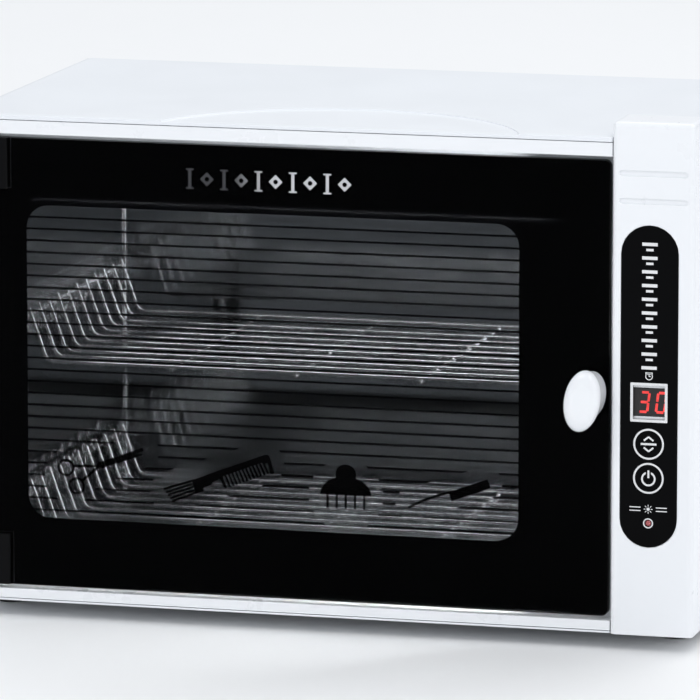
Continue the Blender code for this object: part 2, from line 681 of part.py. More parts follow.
def make_back_panel():
    """Sheet panel inside the case's rear edge, with vents and a cut-out for the mains inlet."""
    inset = SHEET + TOUCH_GAP
    outline = case_outline(inset)
    outline = [(x, max(z, BASE_BOTTOM)) for x, z in outline]
    panel = prism("back_panel", outline, "Y", BACK_PANEL_Y, BACK_PANEL_Y + SHEET)
    for row in range(VENT_COUNT):
        z = VENT_HEIGHT + row * VENT_PITCH
        slot = prism("slot", stadium((ROOM_X, z), *VENT_SIZE, 4), "Y",
                     BACK_PANEL_Y - SHEET, BACK_PANEL_Y + 2.0 * SHEET)
        cut(panel, slot)
    half_width = INLET_BODY[0] / 2.0 + TOUCH_GAP
    half_height = INLET_BODY[1] / 2.0 + TOUCH_GAP
    cut(panel, box("inlet_hole",
                   (ROOM_X - half_width, BACK_PANEL_Y - SHEET, INLET_HEIGHT - half_height),
                   (ROOM_X + half_width, BACK_PANEL_Y + 2.0 * SHEET, INLET_HEIGHT + half_height)))
    return panel


def make_power_inlet():
    """Mains inlet: a flanged body with a recessed socket and three flat pins."""
    flange_y = BACK_PANEL_Y + SHEET + TOUCH_GAP
    face_y = flange_y + INLET_FLANGE_THICKNESS

    def centred(size, start, end, name):
        return box(name, (ROOM_X - size[0] / 2.0, start, INLET_HEIGHT - size[1] / 2.0),
                   (ROOM_X + size[0] / 2.0, end, INLET_HEIGHT + size[1] / 2.0), "black_plastic")

    inlet = centred(INLET_FLANGE, flange_y, face_y, "power_inlet")
    bevel(inlet, 3.0 * MM, 3, lambda edge: edge_along(edge, "Y"))
    join(inlet, centred(INLET_BODY, face_y - INLET_DEPTH, flange_y + TOUCH_GAP, "body"))
    cut(inlet, centred(INLET_SOCKET, face_y - INLET_SOCKET_DEPTH, face_y + MM, "socket"))
    half_width, half_height = (size / 2.0 for size in INLET_PIN_SIZE)
    outer, middle = INLET_PIN_RISE
    for pin, side, rise in (("live", -1.0, outer), ("earth", 0.0, middle), ("neutral", 1.0, outer)):
        x = ROOM_X + side * INLET_PIN_SPREAD
        z = INLET_HEIGHT + rise
        join(inlet, box(pin, (x - half_width, face_y - INLET_SOCKET_DEPTH - MM, z - half_height),
                        (x + half_width, face_y - INLET_SOCKET_DEPTH + INLET_PIN_LENGTH,
                         z + half_height), "black_plastic"))
    return inlet


# ---------------------------------------------------------------------------
# Front frame and control column
# ---------------------------------------------------------------------------

def make_front_frame():
    """Moulded frame: top bar, bottom bar and hinge pillar round a ledge that the door closes on."""
    right = COLUMN_LEFT - TOUCH_GAP
    radius = CASE_CORNER_RADIUS - HEM_THICKNESS - TOUCH_GAP
    outline = [(right, FRAME_BOTTOM), (right, FRAME_TOP)]
    outline += arc((PILLAR_LEFT + radius, FRAME_TOP - radius), radius, 90.0, 180.0, 4)
    outline.append((PILLAR_LEFT, FRAME_BOTTOM))
    frame = prism("front_frame", outline, "Y", FRAME_Y, LEDGE_BACK, "white_plastic")
    recess = box("recess", (PILLAR_RIGHT, FRAME_Y - MM, RECESS_BOTTOM),
                 (right + MM, LEDGE_Y, RECESS_TOP))
    opening = box("opening", (CHAMBER_LEFT, LEDGE_Y - MM, CHAMBER_FLOOR),
                  (CHAMBER_RIGHT, LEDGE_BACK + MM, CHAMBER_CEILING))
    cut(frame, recess, opening)
    bevel(frame, PILLAR_EDGE_RADIUS, 2, is_pillar_edge)
    catch_room = box("catch_room",
                     (KNOB_X - CATCH_WIDTH / 2.0 - TOUCH_GAP, LEDGE_Y - MM,
                      KNOB_Z - CATCH_HEIGHT / 2.0 - TOUCH_GAP),
                     (KNOB_X + CATCH_WIDTH / 2.0 + TOUCH_GAP, LEDGE_BACK + MM,
                      KNOB_Z + CATCH_HEIGHT / 2.0 + TOUCH_GAP))
    plunger_hole = cylinder("plunger_hole", (SWITCH_X, LEDGE_Y - MM, SWITCH_Z), "Y",
                            PLUNGER_RADIUS + RUNNING_GAP, LEDGE_THICKNESS + 2.0 * MM, segments=16)
    cut(frame, catch_room, plunger_hole)
    for end, low in (("top", RECESS_TOP - MM), ("bottom", RECESS_BOTTOM + MM)):
        reach = HINGE_PIN_REACH + RUNNING_GAP + MM
        start = low if end == "top" else low - reach
        cut(frame, cylinder(f"pin_bore_{end}", (HINGE_X, HINGE_Y, start), "Z",
                            HINGE_PIN_RADIUS + RUNNING_GAP, reach, segments=16))
    smooth(frame)
    return frame


def is_pillar_edge(edge):
    """True for the upright front edge of the pillar beside the door."""
    on_line = all(abs(vert.co.x - PILLAR_RIGHT) < 1e-6 and abs(vert.co.y - FRAME_Y) < 1e-6
                  for vert in edge.verts)
    return on_line and edge_along(edge, "Z")


def make_control_column():
    """Moulded hollow column, open at the back, with two grooves and the overlay's pocket."""
    column = box("control_column", (COLUMN_LEFT, COLUMN_FRONT, BASE_BOTTOM),
                 (CASE_RIGHT, COLUMN_BACK, COLUMN_TOP), "white_plastic")
    bevel(column, COLUMN_EDGE_RADIUS, 3, is_column_edge)
    cut(column, box("hollow", (COLUMN_LEFT + COLUMN_WALL, COLUMN_INNER_Y, BASE_BOTTOM + COLUMN_WALL),
                    (CASE_RIGHT - COLUMN_WALL, COLUMN_BACK + MM, COLUMN_TOP - COLUMN_WALL)))
    for drop in GROOVE_DROPS:
        length = COLUMN_WIDTH - 2.0 * GROOVE_MARGIN
        groove = stadium((COLUMN_X, DOOR_TOP - drop), length, GROOVE_HEIGHT, 4)
        cut(column, prism("groove", groove, "Y", COLUMN_FRONT - MM, COLUMN_FRONT + GROOVE_DEPTH))
    pocket = stadium((OVERLAY_X, OVERLAY_TOP - OVERLAY_HEIGHT / 2.0),
                     OVERLAY_WIDTH + 2.0 * TOUCH_GAP, OVERLAY_HEIGHT + 2.0 * TOUCH_GAP, 12)
    cut(column, prism("pocket", pocket, "Y", COLUMN_FRONT - MM, POCKET_Y))
    for drop in BUTTON_DROPS.values():
        cut(column, cylinder("button_hole", (OVERLAY_X, COLUMN_FRONT - MM, DOOR_TOP - drop), "Y",
                             BUTTON_RADIUS + RUNNING_GAP, COLUMN_WALL + 2.0 * MM, segments=24))
    cut(column, cylinder("led_hole", (OVERLAY_X, COLUMN_FRONT - MM, DOOR_TOP - LED_DROP), "Y",
                         LED_RADIUS + RUNNING_GAP, COLUMN_WALL + 2.0 * MM, segments=16))
    width = DISPLAY_SIZE[0] / 2.0 + TOUCH_GAP
    height = DISPLAY_SIZE[1] / 2.0 + TOUCH_GAP
    cut(column, box("display_hole", (OVERLAY_X - width, COLUMN_FRONT - MM, DISPLAY_Z - height),
                    (OVERLAY_X + width, COLUMN_INNER_Y + MM, DISPLAY_Z + height)))
    smooth(column)
    return column


def is_column_edge(edge):
    """True for the column's front edges and its upper side edges, which are rounded."""
    front = all(abs(vert.co.y - COLUMN_FRONT) < 1e-6 for vert in edge.verts)
    top = all(abs(vert.co.z - COLUMN_TOP) < 1e-6 for vert in edge.verts)
    return (front and not all(abs(vert.co.z - BASE_BOTTOM) < 1e-6 for vert in edge.verts)
            or (top and edge_along(edge, "Y")))


def make_control_overlay():
    """Glossy stadium-shaped panel set in the column's pocket, with holes for buttons and light."""
    centre = (OVERLAY_X, OVERLAY_TOP - OVERLAY_HEIGHT / 2.0)
    overlay = prism("control_overlay", stadium(centre, OVERLAY_WIDTH, OVERLAY_HEIGHT, 12), "Y",
                    COLUMN_FRONT, OVERLAY_BACK, "overlay_gloss")
    for drop in BUTTON_DROPS.values():
        cut(overlay, cylinder("button_hole", (OVERLAY_X, COLUMN_FRONT - MM, DOOR_TOP - drop), "Y",
                              BUTTON_RADIUS + RUNNING_GAP, 3.0 * MM, segments=24))
    cut(overlay, cylinder("led_hole", (OVERLAY_X, COLUMN_FRONT - MM, DOOR_TOP - LED_DROP), "Y",
                          LED_RADIUS + RUNNING_GAP, 3.0 * MM, segments=16))
    smooth(overlay)
    return overlay


def make_buttons():
    """Two flush round keys, each held by two ears behind the column's front wall."""
    reach = BUTTON_RADIUS + BUTTON_EAR_REACH
    for name, drop in BUTTON_DROPS.items():
        z = DOOR_TOP - drop
        key = cylinder(name, (OVERLAY_X, COLUMN_FRONT, z), "Y", BUTTON_RADIUS,
                       BUTTON_BACK - COLUMN_FRONT, "overlay_gloss", 24)
        ears = box("ears", (OVERLAY_X - reach, BUTTON_EAR_Y, z - BUTTON_EAR_HEIGHT / 2.0),
                   (OVERLAY_X + reach, BUTTON_BACK, z + BUTTON_EAR_HEIGHT / 2.0))
        join(key, ears)
        smooth(key)


def make_power_led():
    """Domed light that stands on the board and fills its hole in the overlay."""
    length = BOARD_Y - TOUCH_GAP - COLUMN_FRONT
    dome = LED_RADIUS * 0.4
    turned("power_led",
           [(0.0, 0.0), (LED_RADIUS * 0.7, dome * 0.3), (LED_RADIUS, dome), (LED_RADIUS, length)],
           (OVERLAY_X, COLUMN_FRONT, DOOR_TOP - LED_DROP), "Y", "red_lens", 16)


def make_control_board():
    """Upright circuit board behind the overlay, with one switch behind each key."""
    width = COLUMN_WIDTH - 2.0 * (COLUMN_WALL + BOARD_SIDE_GAP)
    bottom = DOOR_TOP - LED_DROP - BOARD_BELOW
    top_edge = DISPLAY_Z + DISPLAY_SIZE[1] / 2.0 + BOARD_ABOVE
    board = box("control_board", (COLUMN_X - width / 2.0, BOARD_Y, bottom),
                (COLUMN_X + width / 2.0, BOARD_Y + BOARD_THICKNESS, top_edge), "board_green")
    half = BOARD_SWITCH_SIZE / 2.0
    stem_tip = BUTTON_BACK + BUTTON_TRAVEL + TOUCH_GAP
    for drop in BUTTON_DROPS.values():
        z = DOOR_TOP - drop
        switch = box("switch", (OVERLAY_X - half, stem_tip + MM, z - half),
                     (OVERLAY_X + half, BOARD_Y + BOARD_THICKNESS / 2.0, z + half))
        stem = cylinder("stem", (OVERLAY_X, stem_tip, z), "Y", half * 0.55, 2.0 * MM, segments=12)
        join(board, join(switch, stem))
    return board


def make_display_module():
    """Two-digit display that stands on the board behind the overlay's window."""
    width, height, depth = DISPLAY_SIZE
    return box("display_module", (OVERLAY_X - width / 2.0, DISPLAY_Y, DISPLAY_Z - height / 2.0),
               (OVERLAY_X + width / 2.0, DISPLAY_Y + depth, DISPLAY_Z + height / 2.0),
               "black_plastic")


# ---------------------------------------------------------------------------
# Door
# ---------------------------------------------------------------------------

def clamp_spans():
    """Each hinge clamp's name, its lowest and highest Z, and its side of the door."""
    yield "top", DOOR_TOP - CLAMP_HEIGHT, DOOR_TOP
    yield "bottom", DOOR_BOTTOM, DOOR_BOTTOM + CLAMP_HEIGHT


def cut_corners(pane, width, start, end):
    """Take the clamps' corners out of a pane."""
    for name, low, high in clamp_spans():
        cut(pane, box(f"corner_{name}", (DOOR_LEFT - MM, start, low - TOUCH_GAP),
                      (DOOR_LEFT + width, end, high + TOUCH_GAP)))


def make_door_glass():
    """Single pane with two notched hinge corners, a polished edge and a hole for the knob's screw."""
    outline = rounded_rectangle((DOOR_LEFT, DOOR_BOTTOM), (DOOR_RIGHT, DOOR_TOP), GLASS_CORNER_RADIUS)
    pane = prism("door_glass", outline, "Y", DOOR_FRONT, GLASS_BACK, "tinted_glass")
    bevel(pane, GLASS_EDGE_CHAMFER, 1, lambda edge: not edge_along(edge, "Y"))
    cut_corners(pane, CLAMP_WEB + TOUCH_GAP, DOOR_FRONT - MM, GLASS_BACK + MM)
    cut(pane, cylinder("screw_hole", (KNOB_X, DOOR_FRONT - MM, KNOB_Z), "Y",
                       KNOB_SCREW_RADIUS + RUNNING_GAP, GLASS_THICKNESS + 2.0 * MM, segments=16))
    smooth(pane)
    return pane


def make_door_print():
    """Black ink layer on the glass's back: a border round the window and fine lines across it."""
    outline = rounded_rectangle((DOOR_LEFT, DOOR_BOTTOM), (DOOR_RIGHT, DOOR_TOP), GLASS_CORNER_RADIUS)
    layer = prism("door_print", outline, "Y", PRINT_Y, PRINT_BACK, "black_ink")
    left = DOOR_LEFT + WINDOW_SIDE_LEFT
    right = DOOR_RIGHT - WINDOW_SIDE_RIGHT
    top = DOOR_TOP - WINDOW_TOP
    bottom = DOOR_BOTTOM + WINDOW_BOTTOM
    window = prism("window", rounded_rectangle((left, bottom), (right, top), WINDOW_RADIUS),
                   "Y", PRINT_Y - MM, PRINT_BACK + MM)
    height = top - bottom
    count = round(height / PRINT_LINE_PITCH)
    pitch = height / count
    lines = []
    for row in range(1, count):
        z = top - row * pitch
        lines.append(box("line", (left - MM, PRINT_Y - 2.0 * MM, z - PRINT_LINE_THICKNESS / 2.0),
                         (right + MM, PRINT_BACK + 2.0 * MM, z + PRINT_LINE_THICKNESS / 2.0)))
    cut(window, merge("lines", lines))
    cut(layer, window)
    cut_corners(layer, CLAMP_WIDTH + TOUCH_GAP, PRINT_Y - MM, PRINT_BACK + MM)
    cut(layer, cylinder("screw_hole", (KNOB_X, PRINT_Y - MM, KNOB_Z), "Y",
                        KNOB_SCREW_RADIUS + RUNNING_GAP, 2.0 * MM + PRINT_THICKNESS, segments=16))
    return layer


def make_hinges():
    """Two metal clamps in the glass's notched corners, each with a pin and a washer."""
    for name, low, high in clamp_spans():
        front = DOOR_FRONT - TOUCH_GAP - CLAMP_WALL
        back = GLASS_BACK + TOUCH_GAP + CLAMP_WALL
        clamp = box(f"hinge_clamp_{name}", (DOOR_LEFT, front, low),
                    (DOOR_LEFT + CLAMP_WIDTH, back, high), "zinc_plate")
        bevel(clamp, CLAMP_EDGE_RADIUS, 2, lambda edge: edge_along(edge, "Z"))
        cut(clamp, box("glass_slot", (DOOR_LEFT + CLAMP_WEB, DOOR_FRONT - TOUCH_GAP, low - MM),
                       (DOOR_LEFT + CLAMP_WIDTH + MM, GLASS_BACK + TOUCH_GAP, high + MM)))
        upward = name == "top"
        seat = high - HINGE_PIN_SEAT if upward else low - MM
        cut(clamp, cylinder("pin_seat", (HINGE_X, HINGE_Y, seat), "Z",
                            HINGE_PIN_RADIUS + RUNNING_GAP, HINGE_PIN_SEAT + MM, segments=16))
        smooth(clamp)
        length = HINGE_PIN_SEAT + DOOR_GAP + HINGE_PIN_REACH - 2.0 * TOUCH_GAP
        if upward:
            start = high - HINGE_PIN_SEAT + TOUCH_GAP
            washer = high + TOUCH_GAP
        else:
            start = low - DOOR_GAP - HINGE_PIN_REACH + TOUCH_GAP
            washer = low - DOOR_GAP + TOUCH_GAP
        cylinder(f"hinge_pin_{name}", (HINGE_X, HINGE_Y, start), "Z", HINGE_PIN_RADIUS, length,
                 "zinc_plate", 16)
        ring(f"hinge_washer_{name}", (HINGE_X, HINGE_Y, washer), "Z", HINGE_WASHER_RADIUS,
             HINGE_PIN_RADIUS + RUNNING_GAP, DOOR_GAP - 2.0 * TOUCH_GAP, "white_plastic", 16)


def knob_section(size, y, segments=28):
    """One oval section of the knob, before it is tilted."""
    points = []
    for step in range(segments):
        angle = 2.0 * math.pi * step / segments
        points.append((size[0] / 2.0 * math.cos(angle), y, size[1] / 2.0 * math.sin(angle)))
    return points


def make_knob():
    """Oval moulded knob: a straight neck that flares to a wider, slightly domed face."""
    sections = [(KNOB_NECK, TOUCH_GAP), (KNOB_NECK, KNOB_PROJECTION * KNOB_NECK_SHARE)]
    for step in range(1, 5):
        share = step / 4.0
        swell = share * share * (3.0 - 2.0 * share)
        size = [neck + (face - neck) * swell for neck, face in zip(KNOB_NECK, KNOB_FACE)]
        reach = KNOB_NECK_SHARE + (KNOB_FLARE_SHARE - KNOB_NECK_SHARE) * share
        sections.append((size, KNOB_PROJECTION * reach))
    round_over = KNOB_PROJECTION * (1.0 - KNOB_FLARE_SHARE)
    for share in (0.45, 0.78, 0.94):
        inset = 1.0 - math.sqrt(1.0 - share * share)
        size = [face * (1.0 - 0.5 * inset) for face in KNOB_FACE]
        sections.append((size, KNOB_PROJECTION - round_over * (1.0 - share)))
    bm = bmesh.new()
    rings = [[bm.verts.new(point) for point in knob_section(size, -depth)]
             for size, depth in sections]
    tip = [bm.verts.new((0.0, -KNOB_PROJECTION, 0.0))]
    for lower, upper in zip(rings, rings[1:] + [tip]):
        bridge(bm, lower, upper)
    bm.faces.new(rings[0])
    spin = Matrix.Rotation(KNOB_TILT, 4, "Y")
    bmesh.ops.transform(bm, matrix=Matrix.Translation((KNOB_X, DOOR_FRONT, KNOB_Z)) @ spin,
                        verts=bm.verts)
    knob = place("knob", mesh_from("knob", bm), "white_plastic")
    grip = KNOB_SCREW_GRIP + TOUCH_GAP
    cut(knob, cylinder("thread", (KNOB_X, DOOR_FRONT - grip, KNOB_Z), "Y",
                       KNOB_SCREW_RADIUS + RUNNING_GAP, grip + MM, segments=16))
    smooth(knob, 50.0)
    return knob


def make_knob_screw():
    """Screw from behind the glass through the strike plate into the knob."""
    head_y = STRIKE_BACK + TOUCH_GAP
    shank_start = DOOR_FRONT - KNOB_SCREW_GRIP
    turned("knob_screw",
           [(KNOB_SCREW_RADIUS, shank_start - head_y), (KNOB_SCREW_RADIUS, 0.0),
            (KNOB_SCREW_HEAD_RADIUS, 0.0), (KNOB_SCREW_HEAD_RADIUS * 0.8, KNOB_SCREW_HEAD)],
           (KNOB_X, head_y, KNOB_Z), "Y", "zinc_plate", 16)


def make_strike_plate():
    """Steel plate behind the glass that the magnets hold."""
    plate = prism("strike_plate",
                  rounded_rectangle((KNOB_X - STRIKE_WIDTH / 2.0, KNOB_Z - STRIKE_HEIGHT / 2.0),
                                    (KNOB_X + STRIKE_WIDTH / 2.0, KNOB_Z + STRIKE_HEIGHT / 2.0),
                                    2.0 * MM, 3), "Y", STRIKE_Y, STRIKE_BACK, "zinc_plate")
    return cut(plate, cylinder("screw_hole", (KNOB_X, STRIKE_Y - MM, KNOB_Z), "Y",
                               KNOB_SCREW_RADIUS + RUNNING_GAP, STRIKE_THICKNESS + 2.0 * MM,
                               segments=16))


def make_magnet_catch():
    """Catch block set in the ledge, with one magnet pad above and one below the knob's screw."""
    half = CATCH_WIDTH / 2.0
    low = KNOB_Z - CATCH_HEIGHT / 2.0
    high = KNOB_Z + CATCH_HEIGHT / 2.0
    block = box("magnet_catch", (KNOB_X - half, LEDGE_Y, low),
                (KNOB_X + half, LEDGE_Y + CATCH_DEPTH, high), "black_plastic")
    face = STRIKE_BACK + TOUCH_GAP
    for start in (low, high - CATCH_PAD_HEIGHT):
        join(block, box("pad", (KNOB_X - half, face, start),
                        (KNOB_X + half, LEDGE_Y + MM, start + CATCH_PAD_HEIGHT)))
    return block


def make_bumpers():
    """Two soft domes on the ledge that the door's free corners close against."""
    length = LEDGE_Y - PRINT_BACK - 2.0 * TOUCH_GAP
    for name, z in (("top", DOOR_TOP - BUMPER_INSET), ("bottom", DOOR_BOTTOM + BUMPER_INSET)):
        turned(f"door_bumper_{name}",
               [(BUMPER_RADIUS * 0.6, 0.0), (BUMPER_RADIUS, length * 0.4), (BUMPER_RADIUS, length)],
               (KNOB_X, PRINT_BACK + TOUCH_GAP, z), "Y", "rubber", 16)


def make_door_switch():
    """Interlock switch behind the ledge, with the plunger that the closed door holds in."""
    centre = (SWITCH_X, PLUNGER_TIP_Y, SWITCH_Z)
    collar = COLLAR_Y - PLUNGER_TIP_Y
    collar_end = collar + PLUNGER_COLLAR_LENGTH
    turned("door_switch_plunger",
           [(PLUNGER_RADIUS * 0.6, 0.0), (PLUNGER_RADIUS, PLUNGER_RADIUS * 0.4),
            (PLUNGER_RADIUS, collar), (PLUNGER_COLLAR_RADIUS, collar),
            (PLUNGER_COLLAR_RADIUS, collar_end), (PLUNGER_TAIL_RADIUS, collar_end),
            (PLUNGER_TAIL_RADIUS, collar_end + PLUNGER_TAIL_LENGTH)],
           centre, "Y", "white_plastic", 16)
    width, depth, height = SWITCH_SIZE
    front = LEDGE_BACK + TOUCH_GAP
    body = box("door_switch_body", (SWITCH_X - width / 2.0, front, SWITCH_Z - height / 2.0),
               (SWITCH_X + width / 2.0, front + depth, SWITCH_Z + height / 2.0), "black_plastic")
    collar_room = COLLAR_Y + PLUNGER_COLLAR_LENGTH + RUNNING_GAP - front
    tail_room = collar_room + PLUNGER_TAIL_LENGTH
    cut(body, cylinder("collar_room", (SWITCH_X, front - MM, SWITCH_Z), "Y",
                       PLUNGER_COLLAR_RADIUS + RUNNING_GAP, collar_room + MM, segments=16),
        cylinder("tail_room", (SWITCH_X, front, SWITCH_Z), "Y",
                 PLUNGER_TAIL_RADIUS + RUNNING_GAP, tail_room, segments=16))
    return body


# ---------------------------------------------------------------------------
# Chamber
# ---------------------------------------------------------------------------

def make_chamber_liner():
    """Five-sided polished box with a front flange, notched for the catch and the switch."""
    liner = box("chamber_liner",
                (CHAMBER_LEFT - CHAMBER_SHEET, CHAMBER_FRONT, CHAMBER_FLOOR - CHAMBER_SHEET),
                (CHAMBER_RIGHT + CHAMBER_SHEET, CHAMBER_BACK_Y + CHAMBER_SHEET,
                 CHAMBER_CEILING + CHAMBER_SHEET), "stainless")
    bevel(liner, CHAMBER_BEND_RADIUS + CHAMBER_SHEET, 3, is_chamber_bend)
    reach = CHAMBER_SHEET + CHAMBER_FLANGE
    join(liner, box("flange", (CHAMBER_LEFT - reach, CHAMBER_FRONT, CHAMBER_FLOOR - reach),
                    (CHAMBER_RIGHT + reach, CHAMBER_FRONT + CHAMBER_SHEET,
                     CHAMBER_CEILING + reach)))
    hollow = box("hollow", (CHAMBER_LEFT, CHAMBER_FRONT - MM, CHAMBER_FLOOR),
                 (CHAMBER_RIGHT, CHAMBER_BACK_Y, CHAMBER_CEILING))
    cut(liner, bevel(hollow, CHAMBER_BEND_RADIUS, 3, is_chamber_bend))
    notch_left = CHAMBER_RIGHT + CHAMBER_SHEET + TOUCH_GAP
    for name, middle, height in (("catch", KNOB_Z, CATCH_HEIGHT), ("switch", SWITCH_Z, SWITCH_SIZE[2])):
        cut(liner, box(f"{name}_notch",
                       (notch_left, CHAMBER_FRONT - MM, middle - height / 2.0 - TOUCH_GAP),
                       (CHAMBER_RIGHT + 2.0 * reach, CHAMBER_FRONT + CATCH_DEPTH,
                        middle + height / 2.0 + TOUCH_GAP)))
    return liner


def is_chamber_bend(edge):
    """True for the folds of the five-sided box: all its edges but those round its open front."""
    return any(vert.co.y > CHAMBER_FRONT + CHAMBER_SHEET for vert in edge.verts)


def make_chamber_supports():
    """Two folded channels that carry the chamber on the base plate."""
    bottom = BASE_BOTTOM + SHEET + TOUCH_GAP
    top = CHAMBER_FLOOR - CHAMBER_SHEET - TOUCH_GAP
    foot = SUPPORT_WIDTH * 0.4
    for side, sign in (("left", -1.0), ("right", 1.0)):
        x = DOOR_X + sign * SUPPORT_SPACING / 2.0
        half = SUPPORT_WIDTH / 2.0
        outline = [
            (x - half - foot, bottom), (x - half - foot, bottom + SHEET),
            (x - half, bottom + SHEET), (x - half, top),
            (x + half, top), (x + half, bottom + SHEET),
            (x + half + foot, bottom + SHEET), (x + half + foot, bottom),
            (x + half - SHEET, bottom), (x + half - SHEET, top - SHEET),
            (x - half + SHEET, top - SHEET), (x - half + SHEET, bottom),
        ]
        prism(f"chamber_support_{side}", outline, "Y", BASE_FRONT + SUPPORT_END_GAP,
              BASE_REAR - SUPPORT_END_GAP, "zinc_plate")


def make_tray_rails():
    """Angle rails on the side walls that carry the upper tray's rim rods."""
    ledge_top = TRAY_UPPER_Z + TRAY_END_RISE - TRAY_ROD_RADIUS - TOUCH_GAP
    drop = TRAY_ROD_RADIUS + TOUCH_GAP + RAIL_SHEET
    lean = TRAY_END_LEAN / TRAY_END_RISE
    wire_face = TRAY_ROD_X - TRAY_ROD_RADIUS + TRAY_WELD - lean * drop
    inner = wire_face + RAIL_WIRE_GAP
    wall = (CHAMBER_RIGHT - CHAMBER_LEFT) / 2.0 - TOUCH_GAP
    for side, sign in (("left", -1.0), ("right", 1.0)):
        outline = [
            (DOOR_X + sign * inner, ledge_top), (DOOR_X + sign * (wall - RAIL_SHEET), ledge_top),
            (DOOR_X + sign * (wall - RAIL_SHEET), ledge_top + RAIL_HEIGHT),
            (DOOR_X + sign * wall, ledge_top + RAIL_HEIGHT),
            (DOOR_X + sign * wall, ledge_top - RAIL_SHEET),
            (DOOR_X + sign * inner, ledge_top - RAIL_SHEET),
        ]
        prism(f"tray_rail_{side}", outline, "Y", CHAMBER_FRONT + CHAMBER_SHEET,
              TRAY_REAR_Y + TRAY_ROD_OVERHANG, "stainless")


def tray_wire_path(y, z):
    """One tray wire: flat across the bottom, bent up at both ends and leaning outwards."""
    slope = math.degrees(math.atan2(TRAY_END_RISE, TRAY_END_LEAN))
    turn = math.radians(slope)
    rod_wire_x = TRAY_ROD_X - TRAY_ROD_RADIUS - TRAY_WIRE_RADIUS + TRAY_WELD
    corner = rod_wire_x - TRAY_END_LEAN
    bend_start = corner - TRAY_BEND_RADIUS * math.tan(turn / 2.0)
    bend = arc((bend_start, TRAY_BEND_RADIUS), TRAY_BEND_RADIUS, -90.0, slope - 90.0, 3)
    tip_share = (TRAY_END_RISE + TRAY_END_TIP) / TRAY_END_RISE
    half = bend + [(corner + TRAY_END_LEAN * tip_share, TRAY_END_RISE * tip_share)]
    right = [(DOOR_X + x, y, z + rise) for x, rise in half]
    left = [(DOOR_X - x, y, z + rise) for x, rise in reversed(half)]
    return left + right


def make_tray(name, z):
    """Welded tray: bent wires side by side, on three cross rods, with a rim rod along each end."""
    wires = []
    for index in range(TRAY_WIRE_COUNT):
        y = TRAY_FRONT_Y + index * TRAY_PITCH
        wires.append(wire(f"wire_{index}", tray_wire_path(y, z), TRAY_WIRE_RADIUS, TRAY_WIRE_SIDES))
    front = TRAY_FRONT_Y - TRAY_ROD_OVERHANG
    rear = TRAY_REAR_Y + TRAY_ROD_OVERHANG
    rods = []
    for x in TRAY_CROSS_RODS:
        rod_z = z - TRAY_CROSS_DROP
        rods.append(wire("cross_rod", [(DOOR_X + x, front, rod_z), (DOOR_X + x, rear, rod_z)],
                         TRAY_WIRE_RADIUS, TRAY_WIRE_SIDES))
    for sign in (-1.0, 1.0):
        x = DOOR_X + sign * TRAY_ROD_X
        rods.append(wire("rim_rod", [(x, front, z + TRAY_END_RISE), (x, rear, z + TRAY_END_RISE)],
                         TRAY_ROD_RADIUS, 2))
    tray = join(merge(name, wires), merge("rods", rods))
    tray.name = name
    smooth(tray, 50.0)
    return tray


# ---------------------------------------------------------------------------
# Lamp
# ---------------------------------------------------------------------------

def make_lamp_tube():
    """Small straight tube with metal caps and two pins at each end."""
    left = HOLDER_LEFT + HOLDER_THICKNESS + RUNNING_GAP
    right = HOLDER_RIGHT - HOLDER_THICKNESS - RUNNING_GAP
    length = right - left
    cap = LAMP_RADIUS
    glass = LAMP_RADIUS - LAMP_CAP_STEP
    tube = turned("lamp_tube",
                  [(cap, 0.0), (cap, LAMP_CAP_LENGTH), (glass, LAMP_CAP_LENGTH),
                   (glass, length - LAMP_CAP_LENGTH), (cap, length - LAMP_CAP_LENGTH),
                   (cap, length)], (left, LAMP_Y, LAMP_Z), "X", "lamp_glass", 20)
    for start in (left - LAMP_PIN_LENGTH, right - MM):
        for shift in (-LAMP_PIN_SPACING / 2.0, LAMP_PIN_SPACING / 2.0):
            join(tube, cylinder("pin", (start, LAMP_Y, LAMP_Z + shift), "X", LAMP_PIN_RADIUS,
                                LAMP_PIN_LENGTH + MM, segments=10))
    smooth(tube)
    return tube


def make_lamp_holders():
    """Two end sockets with a round bore that the pins turn in and a slot to slip them through."""
    top = REFLECTOR_TOP - REFLECTOR_SHEET - TOUCH_GAP
    half = HOLDER_WIDTH / 2.0
    outline = [(LAMP_Y + half, top), (LAMP_Y - half, top)]
    outline += arc((LAMP_Y, LAMP_Z), half, 180.0, 360.0, 10)
    bore = LAMP_PIN_LENGTH + TOUCH_GAP
    for side, x in (("left", HOLDER_LEFT), ("right", HOLDER_RIGHT - HOLDER_THICKNESS)):
        holder = prism(f"lamp_holder_{side}", outline, "X", x, x + HOLDER_THICKNESS, "white_plastic")
        start = x + HOLDER_THICKNESS - bore if side == "left" else x - MM
        cut(holder,
            cylinder("bore", (start, LAMP_Y, LAMP_Z), "X", HOLDER_BORE_RADIUS, bore + MM,
                     segments=16),
            box("slot", (start, LAMP_Y - HOLDER_SLOT / 2.0, LAMP_Z - HOLDER_WIDTH),
                (start + bore + MM, LAMP_Y + HOLDER_SLOT / 2.0, LAMP_Z)))
        smooth(holder)


